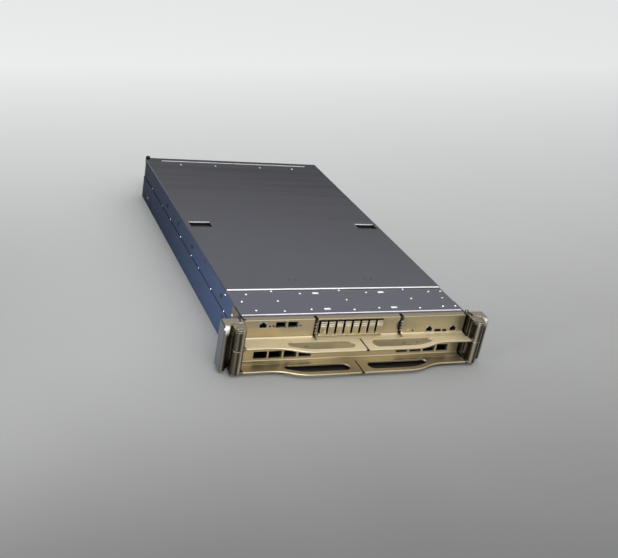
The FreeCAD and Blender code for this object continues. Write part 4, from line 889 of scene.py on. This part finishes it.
class SERVER_OT_drive_latches(bpy.types.Operator):
    """Dresses each drive latch: framed blade, two raised bars, rolled thumb lip and bored knuckle"""
    bl_idname = "rack_server.drive_latches"
    bl_label = "Drive latches"

    def execute(self, context):
        fittings = context.scene.server_fittings
        nodes = ["drive_latch_%d" % i for i in range(1, 9)]
        low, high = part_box(nodes[0])
        radius = fittings.knuckle_radius
        pin = Vector(((low.x + high.x) / 2, high.y - radius, low.z + radius))
        first = self.latch(pin, low.y, high.z, fittings)
        pair = self.bars(pin, high.z, fittings)
        for node in nodes:
            step = Vector((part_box(node)[0].x - low.x, 0, 0))
            # A copy keeps the first latch's word that it stands for drive_latch_1, and adds its own node.
            latch = first if node == nodes[0] else copy_at(first, step)
            settle(latch, node + "_dressed", "anodised", node)
            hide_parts(node)
            bars = pair if node == nodes[0] else copy_at(pair, step)
            settle(bars, node + "_bars", "rivet", node)
        return {"FINISHED"}

    def latch(self, pin, lip_front, top, fittings):
        """One latch on its pin, up to its top and forward to its thumb lip."""
        rim, half, neck = fittings.latch_frame, fittings.latch_width / 2, fittings.latch_neck / 2
        half_wall, shank, radius = fittings.latch_wall / 2, 2.3 * MM, fittings.knuckle_radius
        front, rear = pin.y - half_wall, pin.y + half_wall
        foot = pin.z + shank
        blade = start_block((pin.x - half, front, foot), (pin.x + half, rear, top))
        sink(blade, FRONT, [rim], REAR * rim * 0.4)
        soften(blade, rim / 4)
        lip = soft_block((pin.x - half, lip_front, top - 2 * half_wall),
                         (pin.x + half, front + half_wall / 2, top), half_wall * 0.7, 3)
        stem = soft_block((pin.x - neck, front, pin.z + half_wall),
                          (pin.x + neck, rear, foot + half_wall / 4), half_wall * 0.2)
        return join([blade, lip, stem, ring(pin, radius, 2 * neck, radius * 0.32, 16, "X")])

    def bars(self, pin, top, fittings):
        """The two raised bars across a latch."""
        rim, half = fittings.latch_frame, fittings.latch_width / 2
        below_top, pitch = 8.6 * MM, 3.4 * MM
        front, z = pin.y - fittings.latch_wall / 2, top - below_top
        bar = soft_block((pin.x - half + rim, front - rim / 2, z - rim * 0.7),
                         (pin.x + half - rim, front + rim / 2, z + rim * 0.7), rim * 0.3)
        return row(bar, 2, (0, 0, pitch))


class SERVER_OT_module_latches(bpy.types.Operator):
    """Gives both module latches their slanted nickel ribs and a bright rolled edge"""
    bl_idname = "rack_server.module_latches"
    bl_label = "Module latches"

    def execute(self, context):
        fittings = context.scene.server_fittings
        rise, pitch, count, slant = fittings.rib_height, fittings.rib_pitch, 4, math.radians(50)
        below_top, grip, edge_foot, edge_top = 5 * MM, 12 * MM, 5 * MM, 2 * MM
        nodes = ("module_latch_left", "module_latch_right")
        places = []
        for node in nodes:
            low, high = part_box(node)
            x = (low.x + high.x) / 2
            face = skin(node, (x, -1, high.z - grip), REAR).y
            places.append(Vector((x, face, high.z - below_top - (count - 1) * pitch)))
        half = (high.x - low.x) / 2

        def ribs(at):
            reach = Vector((half * 1.9, rise / 2, rise / 2))
            rib = soft_block(at - reach - Vector((0, rise * 0.1, 0)), at + reach, rise * 0.3)
            tilt(rib, slant, "Y", at)
            return row(rib, count, (0, 0, pitch))

        left, right = repeat(ribs, places)
        edge = soft_block((x + half * 0.4, face - rise * 0.5, low.z + edge_foot),
                          (x + half * 1.2, face + rise / 2, high.z - edge_top), rise * 0.25)
        for node, piece in zip(nodes, (left, join([right, edge]))):
            settle(piece, node + "_ribs", "nickel", node)
        return {"FINISHED"}


class SERVER_OT_ports(bpy.types.Operator):
    """Fits the jacks' gold contacts, the cages' spring fingers and host plugs, and the ports' pads"""
    bl_idname = "rack_server.ports"
    bl_label = "Ports"

    def execute(self, context):
        fittings = context.scene.server_fittings
        self.contacts(fittings)
        self.fingers()
        self.hosts()
        self.pads(fittings)
        return {"FINISHED"}

    def contacts(self, fittings):
        """Eight slanted wires in each jack."""
        thick, pitch, count = fittings.contact, fittings.contact_pitch, 8
        inset, lift, reach, slant = 8 * MM, 2.4 * MM, 4.5 * MM, math.radians(-14)
        half_row = pitch * (count - 1) / 2
        places = [Vector(((low.x + high.x) / 2 - half_row, low.y + inset, low.z + lift))
                  for low, high in solids("network_jacks")]

        def wires(at):
            strand = soft_block(at - Vector((thick / 2, 0, 0)), at + Vector((thick / 2, reach, thick)),
                                thick * 0.3)
            tilt(strand, slant, "X", at)
            return row(strand, count, (pitch, 0, 0))

        settle(join(repeat(wires, places)), "jack_contacts", "gold", "chassis")

    def fingers(self):
        """Spring fingers along the floor and the roof of each upper cage."""
        wall, size, lift = 1.0 * MM, Vector((2.6, 5, 0.3)) * MM, 0.8 * MM
        count, pitch = 4, 3.8 * MM
        boxes = solids("upper_cages")
        middle = (boxes[0][0] + boxes[0][1]) / 2

        def pairs(at):
            tongue = start_block(at, at + size)
            pick_edges(tongue, lambda a, b: min(a.y, b.y) > at.y + size.y * 0.8)
            bpy.ops.transform.translate(value=(0, 0, lift))
            soften(tongue, size.z / 3)
            return row(join([tongue, mirrored(tongue, "Z", middle)]), count, (pitch, 0, 0))

        made = repeat(pairs, [low + Vector((3 * wall, wall, wall)) for low, _ in boxes])
        settle(join(made), "cage_fingers", "nickel", "chassis")

    def hosts(self):
        """Black host plug with a card slot at the rear of each lower network bay."""
        size, rim, slot_depth, rounding = Vector((14.8, 13, 9)) * MM, 2.6 * MM, 6 * MM, 0.4 * MM
        from_left, from_rear, from_floor = 5 * MM, 14 * MM, 2.5 * MM
        places = []
        for low, high in (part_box("network_cage_left"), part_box("network_cage_right")):
            first = Vector((low.x + from_left, high.y - from_rear, low.z + from_floor))
            places += [first + Vector((i * BAY_PITCH * MM, 0, 0)) for i in range(BAY_COUNT)]

        def host(at):
            plug = start_block(at, at + size)
            sink(plug, FRONT, [rim], REAR * slot_depth)
            return soften(plug, rounding)

        settle(join(repeat(host, places)), "network_bay_hosts", "nylon", "chassis")

    def pads(self, fittings):
        """Gold pads on the tongues of the two service ports, four on the wide one and five on the other."""
        thick = fittings.contact
        wide_port, pad_front, pad_rear = 12 * MM, 2 * MM, 9 * MM
        made = []
        for low, high in solids("service_ports"):
            count = 4 if high.x - low.x > wide_port else 5
            pitch = (high.x - low.x) * 0.6 / count
            x = (low.x + high.x) / 2 - pitch * (count - 1) / 2
            z = (low.z + high.z) / 2
            pad = soft_block((x - pitch * 0.3, low.y + pad_front, z - thick * 0.4),
                             (x + pitch * 0.3, low.y + pad_rear, z + thick * 0.2), thick * 0.15)
            made.append(row(pad, count, (pitch, 0, 0)))
        settle(join(made), "service_port_pads", "gold", "chassis")


class SERVER_OT_button(bpy.types.Operator):
    """Caps the power button with a dished, ringed face"""
    bl_idname = "rack_server.button"
    bl_label = "Power button"

    def execute(self, context):
        fittings = context.scene.server_fittings
        radius, rise = fittings.cap_radius, fittings.cap_rise
        low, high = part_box("power_button")
        face = skin("power_button", ((low.x + high.x) / 2, -1, (low.z + high.z) / 2), REAR)
        root = rise * 0.6
        cap = start_round(face + REAR * (root - rise) / 2, radius, rise + root, 24, "Y")
        roll(cap, lambda a, b: max(a.y, b.y) < face.y - rise * 0.9, rise * 0.5)
        sink(cap, FRONT, [radius * 0.3, radius * 0.08], REAR * rise * 0.5)
        settle(cap, "power_button_cap", "nickel", "power_button")
        return {"FINISHED"}


class SERVER_OT_lights(bpy.types.Operator):
    """Domes a smoked lens over each indicator light of the upper panels"""
    bl_idname = "rack_server.lights"
    bl_label = "Indicator lenses"

    def execute(self, context):
        radius = context.scene.server_fittings.lens_radius
        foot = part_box("drive_panel")[0].z
        places = [Vector(((low.x + high.x) / 2, low.y, (low.z + high.z) / 2))
                  for low, high in solids("indicator_lights") if low.z >= foot]

        def dome(at):
            piece = start_round(at, radius, radius, 20, "Y")
            roll(piece, lambda a, b: max(a.y, b.y) < at.y, radius * 0.45, 4)
            return piece

        settle(join(repeat(dome, places)), "indicator_lenses", "lens", "chassis")
        return {"FINISHED"}


class SERVER_OT_bushings(bpy.types.Operator):
    """Rings the rail holes in both side walls with black bushings"""
    bl_idname = "rack_server.bushings"
    bl_label = "Rail bushings"

    def execute(self, context):
        fittings = context.scene.server_fittings
        rim, rise, z = fittings.bushing_rim, fittings.screw_rise, BUSHINGS_Z * MM
        radius = fittings.rail_bore + rim
        places = [Vector((skin("chassis_tray", (side, y * MM, z + radius), (-side, 0, 0)).x, y * MM, z))
                  for side in (-1, 1) for y in BUSHINGS_Y]
        made = repeat(lambda at: soften(ring(at, radius, rise, rim, 20, "X"), rise * 0.2), places)
        settle(join(made), "rail_bushings", "rubber", "chassis")
        return {"FINISHED"}


class SERVER_OT_lever_slit_shades(bpy.types.Operator):
    """Sets black rubber strips, painted shade, into the slits between the left and right levers"""
    bl_idname = "rack_server.lever_buffers"
    bl_label = "Lever slit shades"

    def execute(self, context):
        gap = context.scene.server_fittings.buffer_gap
        rounding, bulb_radius, bulb_inset = 0.3 * MM, 2.4 * MM, 1.6 * MM
        for level in ("upper", "lower"):
            left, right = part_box(level + "_left_lever"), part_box(level + "_right_lever")
            top = skin(level + "_left_lever", (left[1].x - MM, (left[0].y + left[1].y) / 2, 1), (0, 0, -1)).z
            low = Vector((left[1].x, left[0].y + gap, left[0].z + gap))
            high = Vector((right[0].x - gap, SLIT_SHADE_REAR_Y * MM, top - gap))
            parts = [soft_block(low, high, rounding)]
            if level == "lower":
                bulb = start_round(Vector((0, low.y + bulb_inset, (low.z + high.z) / 2)), bulb_radius,
                                   high.z - low.z, 20, "Z")
                parts.append(soften(bulb, bulb_radius / 3, 3))
            # The black strip in the slit is painted shade; the bulb is the black foot at the lower slit's
            # front.
            settle(join(parts), level + "_lever_buffer", "rubber", level + "_left_lever")
        return {"FINISHED"}


class SERVER_OT_ear_clips(bpy.types.Operator):
    """Bends the black spring wires that hook the ears to the top corners of the front panels"""
    bl_idname = "rack_server.ear_clips"
    bl_label = "Ear clips"

    def execute(self, context):
        radius = context.scene.server_fittings.wire_radius
        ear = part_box("ear_right")[1].z
        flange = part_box("io_panel_right")[1].z
        # Points across and along in millimetres, at the height of the ear or the flange.
        hook = ((213, 4, ear), (210.5, 0, ear), (210, -5, ear), (212.5, -10, ear), (213, -14, ear))
        catch = ((209, 4.5, ear), (207, 2, ear), (204.5, -1.5, flange), (204, -5, flange),
                 (200.5, -5.2, flange))
        for side, name in ((-1, "left"), (1, "right")):
            wires = [self.strand([(side * x * MM, y * MM, z + radius * 0.8) for x, y, z in path], radius)
                     for path in (hook, catch)]
            settle(join(wires), "ear_clip_" + name, "nylon", "chassis", 60)
        return {"FINISHED"}

    def strand(self, points, radius):
        """One bent wire through five points, made a mesh."""
        fresh()
        bpy.ops.curve.primitive_nurbs_path_add()
        path = bpy.context.object
        spline = path.data.splines[0]
        for point, place in zip(spline.points, points, strict=True):
            point.co = place + (1,)
        spline.order_u = 3
        spline.use_endpoint_u = True
        path.data.bevel_depth = radius
        path.data.bevel_resolution = 2
        path.data.resolution_u = 6
        path.data.use_fill_caps = True
        bpy.ops.object.convert(target="MESH")
        apply_transform()
        return bpy.context.object


class SERVER_OT_screws(bpy.types.Operator):
    """Drives the black side screws, the bright rivets by the ears and the rear panel's screws"""
    bl_idname = "rack_server.screws"
    bl_label = "Screws"

    def execute(self, context):
        fittings = context.scene.server_fittings
        radius, rise = fittings.screw_radius, fittings.screw_rise
        black = self.on_sides("chassis_tray", SIDE_SCREWS, radius * 0.8, rise * 0.7)
        settle(join(black), "side_screws", "nylon", "chassis")
        bright = self.on_sides("chassis_tray", SIDE_RIVETS, radius * 0.55, rise * 0.7)
        bright += self.on_sides("ear_right", EAR_RIVETS, radius * 0.6, rise * 0.7)
        settle(join(bright), "ear_rivets", "rivet", "chassis")
        low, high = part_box("rear_panel")
        above_foot, below_top = 6 * MM, 5 * MM
        places = [skin("rear_panel", (high.x * share, 1, z), FRONT)
                  for share in REAR_SCREW_SHARES for z in (low.z + above_foot, high.z - below_top)]
        rear = repeat(lambda at: screw_head(at, radius, rise, "Y"), places)
        settle(join(rear), "rear_screws", "nickel", "chassis")
        return {"FINISHED"}

    def on_sides(self, node, places, radius, rise):
        """Heads on the right of a node at places given by Y and Z, and mirrored on the left."""
        spots = [skin(node, (1, y * MM, z * MM), (-1, 0, 0)) for y, z in places]
        heads = join(repeat(lambda at: screw_head(at, radius, rise, "X"), spots))
        return [heads, mirrored(heads, "X", ORIGIN)]


class SERVER_OT_rear_fittings(bpy.types.Operator):
    """Fits the coolant seals and valves, the rear connectors' pin fields and the power clip's jaws"""
    bl_idname = "rack_server.rear_fittings"
    bl_label = "Rear fittings"

    def execute(self, context):
        fittings = context.scene.server_fittings
        self.couplings(fittings)
        self.pin_fields(fittings)
        self.jaws(fittings.jaw)
        return {"FINISHED"}

    def couplings(self, fittings):
        """Two rubber rings round each nose and a sprung valve face in its bore."""
        thick, bore, back, sunk = fittings.seal, fittings.flow_radius, 3 * MM, 0.8 * MM
        radius = fittings.nose_radius + thick * 0.3
        noses = [Vector(((low.x + high.x) / 2, high.y, (low.z + high.z) / 2))
                 for low, high in solids("coolant_couplings")]
        seats = [nose + FRONT * step for nose in noses for step in (back, back + 3 * thick)]

        def seal(at):
            return soften(ring(at, radius, thick, thick * 0.35, 32, "Y"), thick * 0.15, 3)

        def valve(nose):
            piece = start_round(nose + FRONT * back, bore * 0.86, back, 24, "Y")
            roll(piece, lambda a, b: min(a.y, b.y) > nose.y - back, bore * 0.25, 4)
            sink(piece, REAR, [bore * 0.2], FRONT * sunk)
            return piece

        settle(join(repeat(seal, seats)), "coupling_seals", "rubber", "chassis", 50)
        settle(join(repeat(valve, noses)), "coupling_valves", "nickel", "chassis")

    def pin_fields(self, fittings):
        """A shroud round each rear connector's face with a field of gold pins inside it."""
        side, rim, tall = fittings.pin_side, fittings.shroud_rim, fittings.shroud_rise
        columns, rows = 12, 7
        boxes = solids("rear_connectors")
        low, high = boxes[0]
        corners = [Vector((low.x + rim, high.y, low.z + rim)) for low, high in boxes]
        size = Vector((high.x - low.x - 2 * rim, tall, high.z - low.z - 3 * rim))
        room = size - Vector((4 * rim, 0, 4 * rim))

        def shroud(corner):
            piece = start_block(corner, corner + size)
            sink(piece, REAR, [rim], FRONT * tall * 0.85)
            return soften(piece, rim * 0.12)

        def field(corner):
            start = corner + Vector((2 * rim, tall * 0.1, 2 * rim))
            half = Vector((side / 2, 0, side / 2))
            pin = start_block(start - half, start + half + REAR * tall * 0.6)
            pick_faces(pin, lambda c, n: n.y > 0.9)
            push(REAR * side / 2)
            tip = start + REAR * (tall * 0.6 + side / 2)
            bpy.ops.transform.resize(value=(0.5, 1, 0.5), center_override=tip)
            row(pin, columns, (room.x / (columns - 1), 0, 0))
            return row(pin, rows, (0, 0, room.z / (rows - 1)))

        shrouds, fields = repeat(shroud, corners), repeat(field, corners)
        settle(join(shrouds), "rear_connector_shrouds", "nylon", "chassis")
        settle(join(fields), "rear_connector_pins", "gold", "chassis", 20)

    def jaws(self, thick):
        """Copper jaws with spring beams on both sides of the power clip's slot."""
        rear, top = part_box("power_clip")[1].yz
        slot_half, flare, height, count, pitch = 4.5 * MM, 3 * MM, 5 * MM, 7, 6.6 * MM
        front, back, foot = rear - 30 * MM, rear - 11 * MM, top - 48 * MM
        made = []
        for side in (-1, 1):
            # The left block's corners run from right to left: it is inside out, and its front is what moves.
            beam = start_block((side * (slot_half - thick), front, foot),
                               (side * (slot_half - thick * 0.1), back, foot + height))
            pick_faces(beam, lambda c, n: n.y > 0.9)
            push((side * thick * 0.5, flare, 0))
            row(beam, count, (0, 0, pitch))
            made.append(soften(beam, thick * 0.2))
        settle(join(made), "power_clip_jaws", "copper", "chassis")


class SERVER_OT_stage(bpy.types.Operator):
    """Sets up the floor, the soft lights and the camera"""
    bl_idname = "rack_server.stage"
    bl_label = "Stage"

    def execute(self, context):
        studio = context.scene.server_studio
        self.floor(studio)
        self.sky(context, studio)
        self.lights(context, studio)
        self.camera(context, studio)
        context.scene.view_settings.view_transform = "Standard"
        return {"FINISHED"}

    def floor(self, studio):
        """Floor paper, darker towards the camera as painted shade, in bands that fan out from a pole far to
        the left.
        """
        fresh()
        side, behind, drop = 24, 4, 0.4 * MM
        nearest, near_slope, far_slope = 1.5, -0.21, 0.31
        bpy.ops.mesh.primitive_plane_add(size=side, location=(0, behind, -drop))
        floor = bpy.context.object
        floor.name = "studio_floor"
        apply_transform()
        paper, add, shader, place = new_material("backdrop paper with painted shade")
        axes = add("SeparateXYZ", {"Vector": place}).outputs
        reach = add("Math", {0: axes["X"], 1: studio.paper_pole[0]}, operation="SUBTRACT")
        wide = add("Math", {0: reach, 1: nearest}, operation="MAXIMUM")
        rise = add("Math", {0: axes["Y"], 1: studio.paper_pole[1]}, operation="SUBTRACT")
        slope = add("Math", {0: rise, 1: wide}, operation="DIVIDE")
        far = add("MapRange", {"Value": slope, "From Min": near_slope, "From Max": far_slope})
        mottle = add("TexNoise", {"Vector": place, "Scale": 3.0, "Detail": 2.0})
        # Near to far colour: painted shade on the floor.
        graded = add("Mix", {0: far, 6: studio.floor_near, 7: studio.floor_far}, data_type="RGBA")
        faint = add("Math", {0: mottle, 1: 0.04}, operation="MULTIPLY")
        tone = add("Mix", {0: faint, 6: graded, 7: (1, 1, 1, 1)}, data_type="RGBA")
        wire(shader, {"Base Color": tone, "Roughness": 0.9, "Specular IOR Level": 0.1})
        floor.data.materials.append(paper)

    def sky(self, context, studio):
        """Soft grey room that brightens overhead and falls off to the left."""
        world = bpy.data.worlds.new("studio")
        world.use_nodes = True
        world.node_tree.nodes.clear()
        add = partial(add_node, world.node_tree)
        axes = add("SeparateXYZ", {"Vector": add("TexCoord").outputs["Generated"]}).outputs
        glow = add("MapRange", {"Value": axes["Z"], "From Min": 0.28, "From Max": 0.44,
                                "To Min": studio.sky_low, "To Max": studio.sky_high},
                   interpolation_type="SMOOTHSTEP")
        left = add("MapRange", {"Value": axes["X"], "From Min": -0.75, "From Max": 0.0,
                                "To Min": studio.sky_left})
        power = add("Math", {0: glow, 1: left}, operation="MULTIPLY")
        add("OutputWorld", {"Surface": add("Background", {"Color": (1, 1, 1, 1), "Strength": power})})
        context.scene.world = world

    def lights(self, context, studio):
        """Key in front above, and a low light at the left."""
        for name, place, aim, size, spread, power in (
                ("key_softbox", (-0.3, -1.5, 2.2), (0, 0.1, 0.05), (1.3, 1.3), 180, studio.key_power),
                ("left_softbox", (-1.3, -0.5, 0.14), (-0.2, 0.05, 0.11), (0.4, 0.12), 40, studio.side_power)):
            fresh()
            bpy.ops.object.light_add(type="AREA", location=place)
            lamp = context.object
            lamp.name = name
            lamp.data.shape = "RECTANGLE"
            lamp.data.size, lamp.data.size_y = size
            lamp.data.energy = power
            lamp.data.spread = math.radians(spread)
            lamp.visible_camera = False
            lamp.rotation_euler = (Vector(aim) - Vector(place)).to_track_quat("-Z", "Y").to_euler()

    def camera(self, context, studio):
        """Camera at the photograph's place and turn."""
        a, e, r = studio.azimuth, studio.elevation, studio.roll
        back = Vector((math.sin(a) * math.cos(e), -math.cos(a) * math.cos(e), math.sin(e)))
        right = Vector((math.cos(a), math.sin(a), 0))
        up = back.cross(right)
        across = math.cos(r) * right + math.sin(r) * up
        above = -math.sin(r) * right + math.cos(r) * up
        bpy.ops.object.camera_add()
        camera = context.object
        camera.name = "photo_camera"
        turn = Matrix((across, above, back)).transposed().to_4x4()
        camera.matrix_world = Matrix.Translation(studio.camera_place) @ turn
        camera.data.lens = studio.lens
        camera.data.sensor_width = 36
        camera.data.clip_end = 100
        context.scene.camera = camera


class SERVER_PT_panel(bpy.types.Panel):
    """Lists the server's pieces, finishes and stage"""
    bl_idname = "SERVER_PT_panel"
    bl_label = "Rack server"
    bl_space_type = "VIEW_3D"
    bl_region_type = "UI"
    bl_category = "Rack server"

    def draw(self, context):
        for step in STEPS:
            self.layout.operator(step.bl_idname)
        scene = context.scene
        for group in (scene.server_finishes, scene.server_fittings, scene.server_studio):
            for name in group.__annotations__:
                self.layout.prop(group, name)


STEPS = (SERVER_OT_finishes, SERVER_OT_rivets, SERVER_OT_hems, SERVER_OT_pull_cups, SERVER_OT_bumper,
         SERVER_OT_drive_latches, SERVER_OT_module_latches, SERVER_OT_ports, SERVER_OT_button,
         SERVER_OT_lights, SERVER_OT_bushings, SERVER_OT_lever_slit_shades, SERVER_OT_ear_clips,
         SERVER_OT_screws, SERVER_OT_rear_fittings, SERVER_OT_stage)
CLASSES = (ServerFinishes, ServerFittings, ServerStudio) + STEPS + (SERVER_PT_panel,)


def register():
    for made in CLASSES:
        bpy.utils.register_class(made)
    bpy.types.Scene.server_finishes = PointerProperty(type=ServerFinishes)
    bpy.types.Scene.server_fittings = PointerProperty(type=ServerFittings)
    bpy.types.Scene.server_studio = PointerProperty(type=ServerStudio)


def unregister():
    del bpy.types.Scene.server_studio
    del bpy.types.Scene.server_fittings
    del bpy.types.Scene.server_finishes
    for made in reversed(CLASSES):
        bpy.utils.unregister_class(made)


def main():
    register()
    bpy.ops.rack_server.finishes()
    bpy.ops.rack_server.rivets()
    bpy.ops.rack_server.hems()
    bpy.ops.rack_server.pull_cups()
    bpy.ops.rack_server.bumper()
    bpy.ops.rack_server.drive_latches()
    bpy.ops.rack_server.module_latches()
    bpy.ops.rack_server.ports()
    bpy.ops.rack_server.button()
    bpy.ops.rack_server.lights()
    bpy.ops.rack_server.bushings()
    bpy.ops.rack_server.lever_buffers()
    bpy.ops.rack_server.ear_clips()
    bpy.ops.rack_server.screws()
    bpy.ops.rack_server.rear_fittings()
    bpy.ops.rack_server.stage()


if __name__ == "__main__":
    main()
